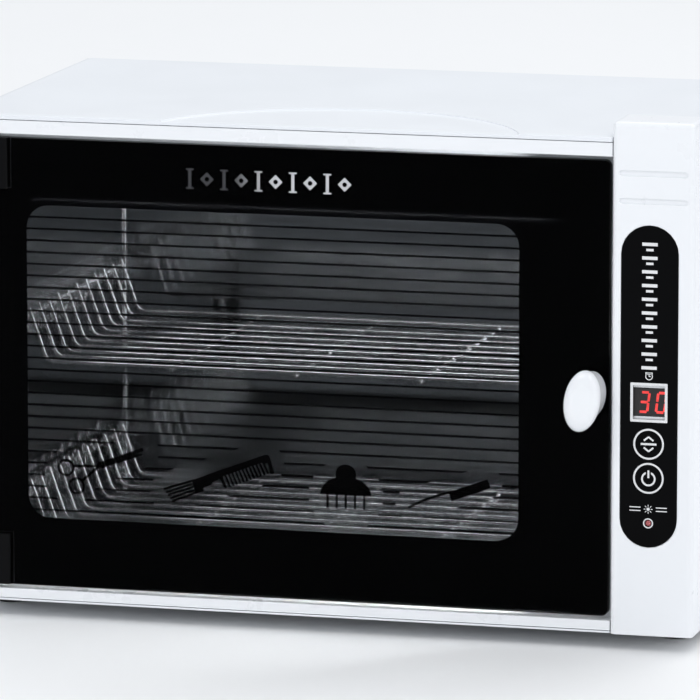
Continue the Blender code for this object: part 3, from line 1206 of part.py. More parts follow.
def make_lamp_reflector():
    """Folded sheet under the chamber's ceiling with a turned-down lip along each side."""
    half = REFLECTOR_WIDTH / 2.0
    bottom = REFLECTOR_TOP - REFLECTOR_SHEET
    outline = [
        (LAMP_Y - half, REFLECTOR_TOP), (LAMP_Y + half, REFLECTOR_TOP),
        (LAMP_Y + half + REFLECTOR_LIP / 2.0, REFLECTOR_TOP - REFLECTOR_LIP),
        (LAMP_Y + half + REFLECTOR_LIP / 2.0 - REFLECTOR_SHEET, REFLECTOR_TOP - REFLECTOR_LIP),
        (LAMP_Y + half - REFLECTOR_SHEET / 2.0, bottom),
        (LAMP_Y - half + REFLECTOR_SHEET / 2.0, bottom),
        (LAMP_Y - half - REFLECTOR_LIP / 2.0 + REFLECTOR_SHEET, REFLECTOR_TOP - REFLECTOR_LIP),
        (LAMP_Y - half - REFLECTOR_LIP / 2.0, REFLECTOR_TOP - REFLECTOR_LIP),
    ]
    prism("lamp_reflector", outline, "X", HOLDER_LEFT, HOLDER_RIGHT, "stainless")


def make_ballast():
    """Lamp ballast on the base plate beside the chamber: a case on a strap with two screw ears."""
    width, depth, height = BALLAST_SIZE
    left = ROOM_X - width / 2.0
    right = ROOM_X + width / 2.0
    bottom = BASE_BOTTOM + SHEET + TOUCH_GAP
    strap_front = BASE_FRONT + FOOT_INSET + FOOT_RADIUS + BALLAST_FOOT_GAP
    strap_rear = strap_front + depth + 2.0 * BALLAST_EAR
    ballast = box("ballast", (left, strap_front + BALLAST_EAR, bottom),
                  (right, strap_rear - BALLAST_EAR, bottom + height), "white_plastic")
    bevel(ballast, 2.0 * MM, 2, lambda edge: edge_along(edge, "Y"))
    join(ballast, box("strap", (left, strap_front, bottom), (right, strap_rear, bottom + BALLAST_STRAP)))
    for y in (strap_front + BALLAST_EAR / 2.0, strap_rear - BALLAST_EAR / 2.0):
        cut(ballast, cylinder("ear_hole", (ROOM_X, y, bottom - MM), "Z", BALLAST_HOLE_RADIUS,
                              BALLAST_STRAP + 2.0 * MM, segments=12))
    return ballast


def build():
    """Model every piece of the cabinet."""
    clear_scene()
    make_outer_shell()
    make_base_plate()
    make_feet()
    make_back_panel()
    make_power_inlet()
    make_front_frame()
    make_control_column()
    make_control_overlay()
    make_buttons()
    make_power_led()
    make_control_board()
    make_display_module()
    make_door_glass()
    make_door_print()
    make_hinges()
    make_knob()
    make_knob_screw()
    make_strike_plate()
    make_magnet_catch()
    make_bumpers()
    make_door_switch()
    make_chamber_liner()
    make_chamber_supports()
    make_tray_rails()
    make_tray("upper_tray", TRAY_UPPER_Z)
    make_tray("lower_tray", TRAY_LOWER_Z)
    make_lamp_tube()
    make_lamp_holders()
    make_lamp_reflector()
    make_ballast()


build()
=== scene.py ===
"""Countertop sterilizer cabinet: the finished surfaces, round the fixed frame of its working parts.

Units are metres.  X runs left to right, Y from the door to the back, Z up.
"""

import math

import bpy
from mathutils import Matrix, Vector


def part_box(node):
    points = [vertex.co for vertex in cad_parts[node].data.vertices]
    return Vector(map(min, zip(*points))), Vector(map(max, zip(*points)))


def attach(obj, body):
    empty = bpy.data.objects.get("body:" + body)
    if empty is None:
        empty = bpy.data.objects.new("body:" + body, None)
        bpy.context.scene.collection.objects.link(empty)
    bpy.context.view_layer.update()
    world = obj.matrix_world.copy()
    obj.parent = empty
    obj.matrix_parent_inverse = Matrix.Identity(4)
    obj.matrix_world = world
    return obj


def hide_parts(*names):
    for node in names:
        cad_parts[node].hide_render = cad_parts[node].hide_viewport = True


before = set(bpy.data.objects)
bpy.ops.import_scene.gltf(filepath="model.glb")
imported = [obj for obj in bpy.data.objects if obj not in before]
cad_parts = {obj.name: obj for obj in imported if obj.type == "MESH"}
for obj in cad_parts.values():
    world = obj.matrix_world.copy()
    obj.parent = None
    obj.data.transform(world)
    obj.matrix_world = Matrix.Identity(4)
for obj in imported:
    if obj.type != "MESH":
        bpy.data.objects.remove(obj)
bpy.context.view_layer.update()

bl_info = {
    "name": "Sterilizer Cabinet",
    "version": (1, 0, 0),
    "blender": (4, 5, 0),
    "location": "View3D > Sidebar > Cabinet",
    "description": "Models and finishes a countertop sterilizer cabinet round its working parts",
    "category": "Object",
}

MM = 0.001
NEAR = 0.01 * MM             # two points closer than this are at one level
PARALLEL = 0.999             # least cosine between two directions that count as one
FULL_ROUND = 0.9995          # share of half a side that a round corner may take up
PRINT_LIFT = 0.005 * MM      # air between a printed mark and the face that it stands on
GLASS_LOW, GLASS_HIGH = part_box("door_glass")
OVERLAY_LOW, OVERLAY_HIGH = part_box("control_overlay")
LINER_LOW, LINER_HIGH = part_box("chamber_liner")
DOOR_X = (GLASS_LOW.x + GLASS_HIGH.x) / 2.0
DOOR_TOP = GLASS_HIGH.z
DOOR_FRONT = GLASS_LOW.y
DOOR_CENTRE = (DOOR_X, (GLASS_LOW.z + GLASS_HIGH.z) / 2.0)
DOOR_SIZE = (GLASS_HIGH.x - GLASS_LOW.x, GLASS_HIGH.z - GLASS_LOW.z)
OVERLAY_X = (OVERLAY_LOW.x + OVERLAY_HIGH.x) / 2.0
OVERLAY_FRONT = OVERLAY_LOW.y
HINGES = ("top", "bottom")
SIDES = ("left", "right")
FEET = ("front_left", "front_right", "rear_left", "rear_right")
AXIS_TURNS = {"X": (0.0, math.pi / 2.0, 0.0), "Y": (math.pi / 2.0, 0.0, 0.0), "Z": (0.0, 0.0, 0.0)}
AXIS_INDEX = {"X": 0, "Y": 1, "Z": 2}


# ----- Modelling helpers -----

def box_of(node):
    """A working part's lowest corner, highest corner and middle."""
    low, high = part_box(node)
    return low, high, (low + high) / 2.0


def put_down():
    """Leave edit mode and select nothing."""
    if bpy.context.object and bpy.context.object.mode != "OBJECT":
        leave_edit()
    bpy.ops.object.select_all(action="DESELECT")


def leave_edit():
    """Go back to object mode."""
    bpy.ops.object.mode_set(mode="OBJECT")


def take_up(piece):
    """Make a piece the active one and the only one selected."""
    put_down()
    piece.select_set(True)
    bpy.context.view_layer.objects.active = piece
    return piece


def set_in_place(name):
    """Name the active object and move its place into its mesh."""
    piece = bpy.context.object
    piece.name = name
    piece.data.name = name
    bpy.ops.object.transform_apply(location=True, rotation=True, scale=True)
    return piece


def add_block(name, low, high, turn=0.0):
    """A block between two opposite corners, turned about its own middle round the Y axis."""
    put_down()
    low, high = Vector(low), Vector(high)
    bpy.ops.mesh.primitive_cube_add(size=1.0, location=(low + high) / 2.0, rotation=(0.0, turn, 0.0))
    bpy.context.object.scale = high - low
    return set_in_place(name)


def add_rod(name, centre, axis, radius, length, sides=48, stretch=(1.0, 1.0)):
    """A cylinder centred on a point; stretch widens it along its own two cross directions."""
    put_down()
    bpy.ops.mesh.primitive_cylinder_add(vertices=sides, radius=radius, depth=length, location=centre,
                                        rotation=AXIS_TURNS[axis])
    bpy.context.object.scale = (*stretch, 1.0)
    return set_in_place(name)


def add_plate(name, centre, size, layer, turn=0.0):
    """An upright plate that faces the door side; layer is where its front and its back lie."""
    (x, z), half_width, half_height = centre, size[0] / 2.0, size[1] / 2.0
    return add_block(name, (x - half_width, layer[0], z - half_height),
                     (x + half_width, layer[1], z + half_height), turn)


def add_slab(name, centre, size, layer, radius, segments=12):
    """An upright plate with round corners."""
    limit = min(size) / 2.0 * FULL_ROUND
    return round_corners(add_plate(name, centre, size, layer), "Y", min(radius, limit), segments)


def add_disc(name, centre, radius, layer, sides=56, stretch=(1.0, 1.0)):
    """An upright disc or oval that faces the door side."""
    place = (centre[0], (layer[0] + layer[1]) / 2.0, centre[1])
    return add_rod(name, place, "Y", radius, layer[1] - layer[0], sides, stretch)


def add_ring(name, centre, outer, line, layer, sides=56):
    """An upright flat ring."""
    return carve(add_disc(name, centre, outer, layer, sides),
                 add_disc("hole", centre, outer - line, past(layer), sides))


def past(layer):
    """A layer that reaches beyond both faces of another, for cutters."""
    return layer[0] - MM, layer[1] + MM


def printed(front, height):
    """The layer of a mark that stands off a face."""
    return front - height, front - PRINT_LIFT


def start_edit(piece, mode, test=lambda part: True):
    """Enter edit mode with only the faces or edges that pass the test selected."""
    take_up(piece)
    bpy.ops.object.mode_set(mode="EDIT")
    bpy.ops.mesh.select_mode(type=mode)
    bpy.ops.mesh.select_all(action="DESELECT")
    leave_edit()
    for part in piece.data.polygons if mode == "FACE" else piece.data.edges:
        part.select = test(part)
    bpy.ops.object.mode_set(mode="EDIT")


def pull_faces(*way):
    """Extrude the selected faces."""
    bpy.ops.mesh.extrude_region_move(TRANSFORM_OT_translate={"value": way})


def pull_edges(*way):
    """Extrude the selected edges."""
    bpy.ops.mesh.extrude_edges_move(TRANSFORM_OT_translate={"value": way})


def face_one_way(inside):
    """Turn all normals of the edited mesh inwards or outwards and leave edit mode."""
    bpy.ops.mesh.select_all(action="SELECT")
    bpy.ops.mesh.normals_make_consistent(inside=inside)
    leave_edit()


def edge_ends(piece, edge):
    """The two ends of an edge."""
    return [piece.data.vertices[index].co for index in edge.vertices]


def along(piece, axis):
    """A test for edges that are parallel to an axis."""
    def test(edge):
        start, end = edge_ends(piece, edge)
        return abs((end - start).normalized()[AXIS_INDEX[axis]]) > PARALLEL
    return test


def at_level(piece, axis, level):
    """A test for edges that lie wholly at one level of an axis."""
    return lambda edge: all(abs(end[AXIS_INDEX[axis]] - level) < NEAR for end in edge_ends(piece, edge))


def bevel_edges(piece, width, segments, test):
    """Round the edges that pass the test."""
    start_edit(piece, "EDGE", test)
    bpy.ops.mesh.bevel(offset=width, segments=segments, profile=0.5, affect="EDGES", clamp_overlap=True)
    leave_edit()
    return piece


def round_corners(piece, axis, radius, segments):
    """Round the edges of a block that run along an axis."""
    return bevel_edges(piece, radius, segments, along(piece, axis))


def modify(piece, kind, **settings):
    """Give a piece a modifier and apply it."""
    take_up(piece)
    modifier = piece.modifiers.new(kind.lower(), kind)
    for key, value in settings.items():
        setattr(modifier, key, value)
    bpy.ops.object.modifier_apply(modifier=modifier.name)
    return piece


def combine(piece, others, operation):
    """Apply one Boolean for each other piece, then remove it."""
    for other in others:
        modify(piece, "BOOLEAN", object=other, operation=operation, solver="EXACT")
        take_up(other)
        bpy.ops.object.delete()
    return take_up(piece)


def carve(piece, *others):
    """Cut the other pieces out."""
    return combine(piece, others, "DIFFERENCE")


def fuse(piece, *others):
    """Weld the other pieces on."""
    return combine(piece, others, "UNION")


def gather(name, pieces):
    """Make one object of pieces that don't meet."""
    take_up(pieces[0])
    for piece in pieces:
        piece.select_set(True)
    if len(pieces) > 1:
        bpy.ops.object.join()
    pieces[0].name = name
    pieces[0].data.name = name
    return pieces[0]


def copy_piece(piece, name, shift):
    """Copy a piece with its own mesh and move it."""
    take_up(piece)
    bpy.ops.object.duplicate(linked=False)
    bpy.context.object.location = shift
    return set_in_place(name)


def smooth(piece, angle=35.0):
    """Shade round stretches smooth and keep folds crisp."""
    take_up(piece)
    bpy.ops.object.shade_smooth_by_angle(angle=math.radians(angle))
    return modify(piece, "WEIGHTED_NORMAL", keep_sharp=True)


def round_off(piece, width, segments=2, angle=38.0):
    """Take the sharpness off every edge, as moulding, folding or polishing does."""
    modify(piece, "BEVEL", width=width, segments=segments, limit_method="ANGLE",
           angle_limit=math.radians(angle), use_clamp_overlap=True)
    return smooth(piece)


def refine(node, name, width=0.0):
    """Start a piece from a working part's solid: merge its triangles into clean faces, then round off."""
    piece = bpy.data.objects.new(name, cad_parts[node].data.copy())
    bpy.context.scene.collection.objects.link(piece)
    piece.data.name = name
    start_edit(piece, "FACE")
    bpy.ops.mesh.select_all(action="SELECT")
    bpy.ops.mesh.remove_doubles(threshold=NEAR * 0.5)
    bpy.ops.mesh.dissolve_limited(angle_limit=math.radians(0.4))
    leave_edit()
    return round_off(piece, width) if width else piece


def settle(piece, finish, *nodes, body="cabinet"):
    """Give a finished piece its material, its body and the working parts that it stands for."""
    piece.data.materials.clear()
    piece.data.materials.append(finish_named(finish))
    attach(piece, body)
    if nodes:
        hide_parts(*nodes)
    return piece


def keep_solid(node, name, width, finish, body="cabinet"):
    """Finish a working part whose own solid needs only its edges rounded."""
    return settle(refine(node, name, width), finish, node, body=body)


def recoat(node, finish):
    """Give a working part that shows as it is a better material."""
    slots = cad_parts[node].data.materials
    slots.clear()
    slots.append(finish_named(finish))


def add_pan_screw(name, centre, axis, facing, radius, height):
    """A domed screw head with a cross recess; facing is the way that its top looks along the axis."""
    index = AXIS_INDEX[axis]
    dome, half_slot, slot_reach = height * 0.7, radius * 0.14, radius * 0.55
    middle, top = Vector(centre), Vector(centre)
    middle[index] += facing * height / 2.0
    top[index] += facing * height
    head = add_rod(name, middle, axis, radius, height, 32)
    bevel_edges(head, dome, 4, at_level(head, axis, top[index]))
    bars = []
    for turned in (0, 1):
        half = Vector((half_slot,) * 3)
        half[(index + 1 + turned) % 3] = slot_reach
        half[index] = height * 0.5
        bars.append(add_block("recess", top - half, top + half))
    return smooth(carve(head, fuse(*bars)))


# ----- Material helpers -----

def feed(tree, node, inputs):
    """Give a node its inputs; one that is given as a socket is linked."""
    for key, value in inputs.items():
        if isinstance(value, bpy.types.NodeSocket):
            tree.links.new(value, node.inputs[key])
        else:
            node.inputs[key].default_value = value
    return node


def add_node(tree, kind, inputs=None, **settings):
    """Add a node with its settings and its inputs."""
    node = tree.nodes.new(kind)
    for key, value in settings.items():
        setattr(node, key, value)
    return feed(tree, node, inputs or {})


def noise(tree, vector, scale, detail, roughness=0.5):
    """Soft noise between 0 and 1."""
    node = add_node(tree, "ShaderNodeTexNoise", {"Vector": vector, "Scale": scale, "Detail": detail,
                                                 "Roughness": roughness})
    return node.outputs["Fac"]


def spread(tree, value, start, end, low=0.0, high=1.0, **settings):
    """Stretch a value from one range to another."""
    node = add_node(tree, "ShaderNodeMapRange", {"Value": value, "From Min": start, "From Max": end,
                                                 "To Min": low, "To Max": high}, **settings)
    return node.outputs["Result"]


def blend(tree, share, first, second):
    """Mix two colours."""
    return add_node(tree, "ShaderNodeMix", {0: share, 6: first, 7: second}, data_type="RGBA").outputs[2]


def calculate(tree, operation, *values):
    """Work out a sum or product of values."""
    return add_node(tree, "ShaderNodeMath", dict(enumerate(values)), operation=operation).outputs[0]


def build_peel(tree, given):
    """Orange peel of sprayed or moulded surfaces: a height of broad waves with finer ones on them."""
    broad = noise(tree, given["Vector"], given["Scale"], 2.0)
    finer = noise(tree, given["Vector"], calculate(tree, "MULTIPLY", given["Scale"], 4.7), 1.0)
    return {"Height": calculate(tree, "MULTIPLY_ADD", finer, given["Fine Share"], broad)}


def build_haze(tree, given):
    """Uneven gloss: a roughness that wanders between two values in soft patches and small flecks."""
    cloud = noise(tree, given["Vector"], given["Scale"], 5.0, 0.62)
    return {"Roughness": spread(tree, cloud, 0.35, 0.68, given["Low"], given["High"])}


def build_drift(tree, given):
    """Slight drift of a colour towards a second one over a surface."""
    cloud = noise(tree, given["Vector"], given["Scale"], 4.0)
    return {"Color": blend(tree, spread(tree, cloud, 0.38, 0.66), given["Color"], given["Other"])}


def build_grain(tree, given):
    """Rolled sheet's grain: noise drawn out along one direction by a squeeze of each axis."""
    squeezed = add_node(tree, "ShaderNodeVectorMath", {0: given["Vector"], 1: given["Squeeze"]},
                        operation="MULTIPLY").outputs[0]
    lines = noise(tree, squeezed, given["Scale"], 3.0, 0.7)
    return {"Height": lines, "Mask": spread(tree, lines, 0.4, 0.6)}


FLOAT, COLOR, VECTOR = "NodeSocketFloat", "NodeSocketColor", "NodeSocketVector"
EFFECTS = {
    "Peel": (build_peel, {"Vector": VECTOR, "Scale": FLOAT, "Fine Share": FLOAT}, {"Height": FLOAT}),
    "Haze": (build_haze, {"Vector": VECTOR, "Scale": FLOAT, "Low": FLOAT, "High": FLOAT},
             {"Roughness": FLOAT}),
    "Drift": (build_drift, {"Vector": VECTOR, "Scale": FLOAT, "Color": COLOR, "Other": COLOR},
              {"Color": COLOR}),
    "Grain": (build_grain, {"Vector": VECTOR, "Squeeze": VECTOR, "Scale": FLOAT},
              {"Height": FLOAT, "Mask": FLOAT}),
}


def effect_group(name):
    """Build a shader node group with named inputs and outputs."""
    build, inputs, outputs = EFFECTS[name]
    group = bpy.data.node_groups.new(name, "ShaderNodeTree")
    for way, sockets in (("INPUT", inputs), ("OUTPUT", outputs)):
        for label, kind in sockets.items():
            group.interface.new_socket(label, in_out=way, socket_type=kind)
    given = group.nodes.new("NodeGroupInput")
    feed(group, group.nodes.new("NodeGroupOutput"), build(group, given.outputs))
    return group


def effect(tree, name, **inputs):
    """Place an effect group, built the first time that it is asked for, and return its outputs."""
    group = bpy.data.node_groups.get(name) or effect_group(name)
    return feed(tree, add_node(tree, "ShaderNodeGroup", node_tree=group), inputs).outputs


def new_finish(name, **plain):
    """Start a material; plain values go to the sockets of its Principled shader."""
    made = bpy.data.materials.new(name)
    made.use_nodes = True
    tree = made.node_tree
    shader = tree.nodes["Principled BSDF"]
    feed(tree, shader, {label.replace("_", " "): value for label, value in plain.items()})
    return tree, shader, add_node(tree, "ShaderNodeTexCoord").outputs["Object"]


def shaded(color, share=1.0):
    """A colour with its brightness changed and full alpha."""
    return tuple(channel * share for channel in color) + (1.0,)


def drifting(tree, spot, scale, color, share):
    """A colour that drifts towards a darker shade of itself."""
    return effect(tree, "Drift", Vector=spot, Scale=scale, Color=shaded(color),
                  Other=shaded(color, share))["Color"]


def set_tone(tree, shader, spot, tone, gloss, haze_scale):
    """Link a colour to the shader, with a roughness that wanders between two values."""
    haze = effect(tree, "Haze", Vector=spot, Scale=haze_scale, Low=gloss[0], High=gloss[1])
    feed(tree, shader, {"Base Color": tone, "Roughness": haze["Roughness"]})


def roughen(tree, shader, height, strength, depth):
    """Turn a height into a surface normal; the depth is in millimetres."""
    bump = add_node(tree, "ShaderNodeBump", {"Height": height, "Strength": strength, "Distance": depth * MM})
    tree.links.new(bump.outputs["Normal"], shader.inputs["Normal"])


def surface(name, color, gloss, peel=None, drift=0.95, drift_scale=9.0, haze_scale=40.0, **plain):
    """A sprayed, moulded or plated surface.

    gloss is the lowest and highest roughness; peel is the scale, strength and depth of its waviness.
    """
    tree, shader, spot = new_finish(name, **plain)
    set_tone(tree, shader, spot, drifting(tree, spot, drift_scale, color, drift), gloss, haze_scale)
    if peel:
        waves = effect(tree, "Peel", **{"Vector": spot, "Scale": peel[0], "Fine Share": 0.3})
        roughen(tree, shader, waves["Height"], *peel[1:])


def rolled_steel(name, color, gloss, squeeze, scale, depth):
    """Bright sheet with the faint grain of its rolling direction."""
    tree, shader, spot = new_finish(name, Metallic=1.0)
    grain = effect(tree, "Grain", Vector=spot, Squeeze=squeeze, Scale=scale)
    set_tone(tree, shader, spot, blend(tree, grain["Mask"], shaded(color), shaded(color, 0.9)), gloss, 14.0)
    roughen(tree, shader, grain["Height"], 0.25, depth)


def clear_pane(name, tint, gloss, **plain):
    """Tinted, coated glass that lamps shine through; the tint is what one whole pane lets pass."""
    tree, shader, spot = new_finish(name, Transmission_Weight=1.0, **plain)
    set_tone(tree, shader, spot, drifting(tree, spot, 3.0, tint, 0.97), gloss, 25.0)
    path = add_node(tree, "ShaderNodeLightPath")
    one_face = shaded([math.sqrt(channel) for channel in tint])
    passed = add_node(tree, "ShaderNodeBsdfTransparent", {"Color": one_face})
    choice = add_node(tree, "ShaderNodeMixShader", {0: path.outputs["Is Shadow Ray"],
                                                    1: shader.outputs["BSDF"], 2: passed.outputs["BSDF"]})
    tree.links.new(choice.outputs[0], tree.nodes["Material Output"].inputs["Surface"])


def lit_surface(name, color, strength, dim):
    """A glowing segment, a little uneven."""
    tree, shader, spot = new_finish(name, Roughness=0.4, Emission_Strength=strength,
                                    Base_Color=shaded(color, 0.15))
    feed(tree, shader, {"Emission Color": drifting(tree, spot, 260.0, color, dim)})


def painted_sheen_foil(name, dark, bright, start, end):
    """Silver print with a painted sheen: its colour runs from dark at one end to bright at the other,
    painted along X in place of a reflection.
    """
    tree, shader, spot = new_finish(name, Metallic=0.55, Specular_IOR_Level=0.5)
    across = add_node(tree, "ShaderNodeSeparateXYZ", {"Vector": spot}).outputs["X"]
    share = spread(tree, across, start, end, interpolation_type="SMOOTHSTEP")
    set_tone(tree, shader, spot, blend(tree, share, shaded(dark), shaded(bright)), (0.3, 0.45), 300.0)


# Each finish: the slot of its pieces, the function that makes it, that function's values and its plain
# settings.  A colour that is a word is one of the user's colours; depths are in millimetres.
FINISHES = {
    "powder_coat": ("white_paint", surface, ("paint", (0.32, 0.37), (380.0, 0.14, 0.035), 0.98),
                    {"Coat_Weight": 0.15, "Coat_Roughness": 0.12}),
    "white_moulding": ("white_plastic", surface,
                       ("moulding", (0.27, 0.30), (420.0, 0.05, 0.015), 0.985), {}),
    "knob_white": ("white_plastic", surface, ("moulding", (0.12, 0.18), (650.0, 0.04, 0.02), 0.99),
                   {"Coat_Weight": 0.4, "Coat_Roughness": 0.06}),
    "door_tint": ("tinted_glass", clear_pane, ("glass", (0.0, 0.012)), {"IOR": 1.08}),
    "door_ink": ("black_ink", surface, ("ink", (0.35, 0.5), (400.0, 0.03, 0.01), 0.8),
                 {"Specular_IOR_Level": 0.0}),
    # The ornament's silver has a painted sheen, dark at its left and bright towards its right.
    "title_foil": ("zinc_plate", painted_sheen_foil, ((0.05, 0.05, 0.055), (0.62, 0.62, 0.64), DOOR_X - 30.0 * MM,
                                        DOOR_X - 4.0 * MM), {}),
    "panel_gloss": ("overlay_gloss", surface, ("ink", (0.05, 0.09), (160.0, 0.05, 0.05), 0.85),
                    {"Specular_IOR_Level": 0.05}),
    "panel_white": ("white_paint", surface, ((0.78, 0.78, 0.79), (0.35, 0.5), (2500.0, 0.1, 0.01)), {}),
    "display_black": (None, surface, ((0.012, 0.01, 0.011), (0.3, 0.42), (1800.0, 0.2, 0.02), 0.8), {}),
    "digit_red": ("red_lens", lit_surface, ((1.0, 0.055, 0.05), 1.15, 0.55), {}),
    "light_lens": ("red_lens", surface, ((0.75, 0.16, 0.17), (0.12, 0.2), (900.0, 0.1, 0.02), 0.7),
                   {"Transmission_Weight": 0.25, "Coat_Weight": 0.5}),
    "chamber_steel": ("stainless", rolled_steel, ("steel", (0.055, 0.085), (1.0, 1.0, 0.05), 700.0, 0.002),
                      {}),
    "folded_steel": ("stainless", rolled_steel, ("steel", (0.16, 0.26), (0.06, 0.06, 1.0), 900.0, 0.01),
                     {}),
    "lamp_mirror": ("stainless", rolled_steel,
                    ((0.82, 0.83, 0.84), (0.06, 0.12), (0.04, 1.0, 1.0), 800.0, 0.006), {}),
    "tray_chrome": ("bright_wire", surface, ((0.80, 0.80, 0.80), (0.10, 0.2), (1400.0, 0.15, 0.02), 0.86,
                                             120.0, 260.0), {"Metallic": 1.0}),
    "zinc": ("zinc_plate", surface, ((0.62, 0.62, 0.60), (0.28, 0.45), (1200.0, 0.3, 0.02), 0.8, 180.0,
                                     200.0), {"Metallic": 1.0}),
    "hinge_black": ("zinc_plate", surface, ((0.004, 0.004, 0.0045), (0.35, 0.45), (1300.0, 0.2, 0.02),
                                            0.7), {"Specular_IOR_Level": 0.06}),
    "brass": ("zinc_plate", surface, ((0.72, 0.55, 0.28), (0.2, 0.35), (1500.0, 0.2, 0.01), 0.8, 300.0,
                                      300.0), {"Metallic": 1.0}),
    "cap_aluminium": ("zinc_plate", rolled_steel,
                      ((0.78, 0.79, 0.80), (0.25, 0.35), (1.0, 0.05, 0.05), 1300.0, 0.01), {}),
    "lamp_tube_white": ("lamp_glass", surface, ((0.80, 0.84, 0.90), (0.06, 0.1), None, 0.93, 30.0, 60.0),
                        {"Coat_Weight": 0.8, "Coat_Roughness": 0.03}),
    "black_moulding": ("black_plastic", surface, ("black", (0.38, 0.5), (1100.0, 0.35, 0.03), 0.75), {}),
    "foot_rubber": ("rubber", surface, ("rubber", (0.7, 0.85), (1500.0, 0.5, 0.05), 0.7, 60.0, 90.0), {}),
    "magnet_black": ("black_plastic", surface,
                     ((0.03, 0.03, 0.032), (0.45, 0.6), (1900.0, 0.4, 0.03), 0.7, 200.0), {}),
    "board": (None, surface, ((0.015, 0.13, 0.05), (0.3, 0.45), (700.0, 0.3, 0.03), 0.7, 160.0), {}),
    "ballast_white": ("white_plastic", surface,
                      ((0.72, 0.72, 0.70), (0.35, 0.5), (600.0, 0.25, 0.04), 0.88), {}),
    "floor": (None, surface, ((0.90, 0.90, 0.90), (0.75, 0.85), (60.0, 0.05, 0.05), 0.99, 1.5), {}),
}


def finish_named(name):
    """Return a finish, made the first time that it is asked for."""
    if name not in bpy.data.materials:
        _, make, (color, *values), settings = FINISHES[name]
        if isinstance(color, str):
            color = tuple(getattr(bpy.context.scene.cabinet_finishes, color))
        make(name, color, *values, **settings)
    return bpy.data.materials[name]


# ----- Settings -----

def color_property(label, text, value):
    """A colour setting."""
    return bpy.props.FloatVectorProperty(name=label, description=text, subtype="COLOR", size=3, min=0.0,
                                         max=1.0, default=value)


def size_property(label, text, value):
    """A length setting, in metres."""
    return bpy.props.FloatProperty(name=label, description=text, subtype="DISTANCE", unit="LENGTH",
                                   default=value, precision=5)


class CabinetFinishes(bpy.types.PropertyGroup):
    """Colours of the cabinet's main finishes"""

    paint: color_property("Paint", "Powder coat on the case", (0.83, 0.855, 0.89))
    moulding: color_property("Moulding", "White front frame, control column and knob", (0.86, 0.875, 0.90))
    glass: color_property("Glass", "What the door's tinted pane lets through", (0.30, 0.31, 0.32))
    ink: color_property("Ink", "Black printed behind the door and on the control panel",
                        (0.0012, 0.0012, 0.0016))
    steel: color_property("Steel", "Polished sheet that lines the chamber", (0.50, 0.51, 0.52))
    black: color_property("Black moulding", "Inlet, catch and switch", (0.02, 0.02, 0.021))
    rubber: color_property("Rubber", "Feet and door bumpers", (0.022, 0.022, 0.022))


class CabinetDetails(bpy.types.PropertyGroup):
    """Sizes of the details that finish the cabinet"""

    fold_radius: size_property("Fold radius", "Rounding along the sheet metal's edges", 0.35 * MM)
    mould_radius: size_property("Moulding radius", "Rounding along the moulded parts' edges", 0.4 * MM)
    window_left: size_property("Window left", "Door's left edge to its window", 23.7 * MM)
    window_right: size_property("Window right", "Door's right edge to its window", 43.4 * MM)
    window_top: size_property("Window top", "Door's top edge to its window", 31.8 * MM)
    window_bottom: size_property("Window bottom", "Door's bottom edge to its window", 31.8 * MM)
    window_radius: size_property("Window radius", "Round corners of the window", 11.0 * MM)
    line_pitch: size_property("Line pitch", "Between two lines printed across the window", 5.56 * MM)
    line_height: size_property("Line height", "Thickness of a printed line", 0.9 * MM)
    bend_radius: size_property("Chamber bend", "Inside radius of the chamber's folds", 1.8 * MM)
    wire_radius: size_property("Wire radius", "Wires of the trays", 0.9 * MM)
    rod_radius: size_property("Rod radius", "Rim rods of the trays", 1.5 * MM)
    mark_height: size_property("Mark height", "How far printed marks stand off their panel", 0.05 * MM)


# ----- Case -----

class CABINET_OT_shell(bpy.types.Operator):
    """Fold, round and coat the outer case with its pressed top"""

    bl_idname = "cabinet.shell"
    bl_label = "Outer Case"

    def execute(self, context):
        keep_solid("outer_shell", "case", context.scene.cabinet_details.fold_radius, "powder_coat")
        return {"FINISHED"}


class CABINET_OT_base(bpy.types.Operator):
    """Finish the base, the back panel and their screws"""

    bl_idname = "cabinet.base"
    bl_label = "Base and Back"

    def execute(self, context):
        fold = context.scene.cabinet_details.fold_radius
        keep_solid("base_plate", "base", fold, "powder_coat")
        keep_solid("back_panel", "rear_panel", fold * 0.5, "powder_coat")
        inset, head_radius, head_height = 7.0 * MM, 3.0 * MM, 1.6 * MM
        panel_low, panel_high, middle = box_of("back_panel")
        left, right = panel_low.x + inset, panel_high.x - inset
        low, high = panel_low.z + inset, panel_high.z - inset
        seat = panel_high.y + 0.02 * MM
        places = [(x, z) for x in (left, middle.x, right) for z in (low, high)]
        places += [(left, middle.z), (right, middle.z)]
        screws = [add_pan_screw("panel_screw", (x, seat, z), "Y", 1.0, head_radius, head_height)
                  for x, z in places]
        settle(gather("panel_screws", screws), "zinc")
        return {"FINISHED"}


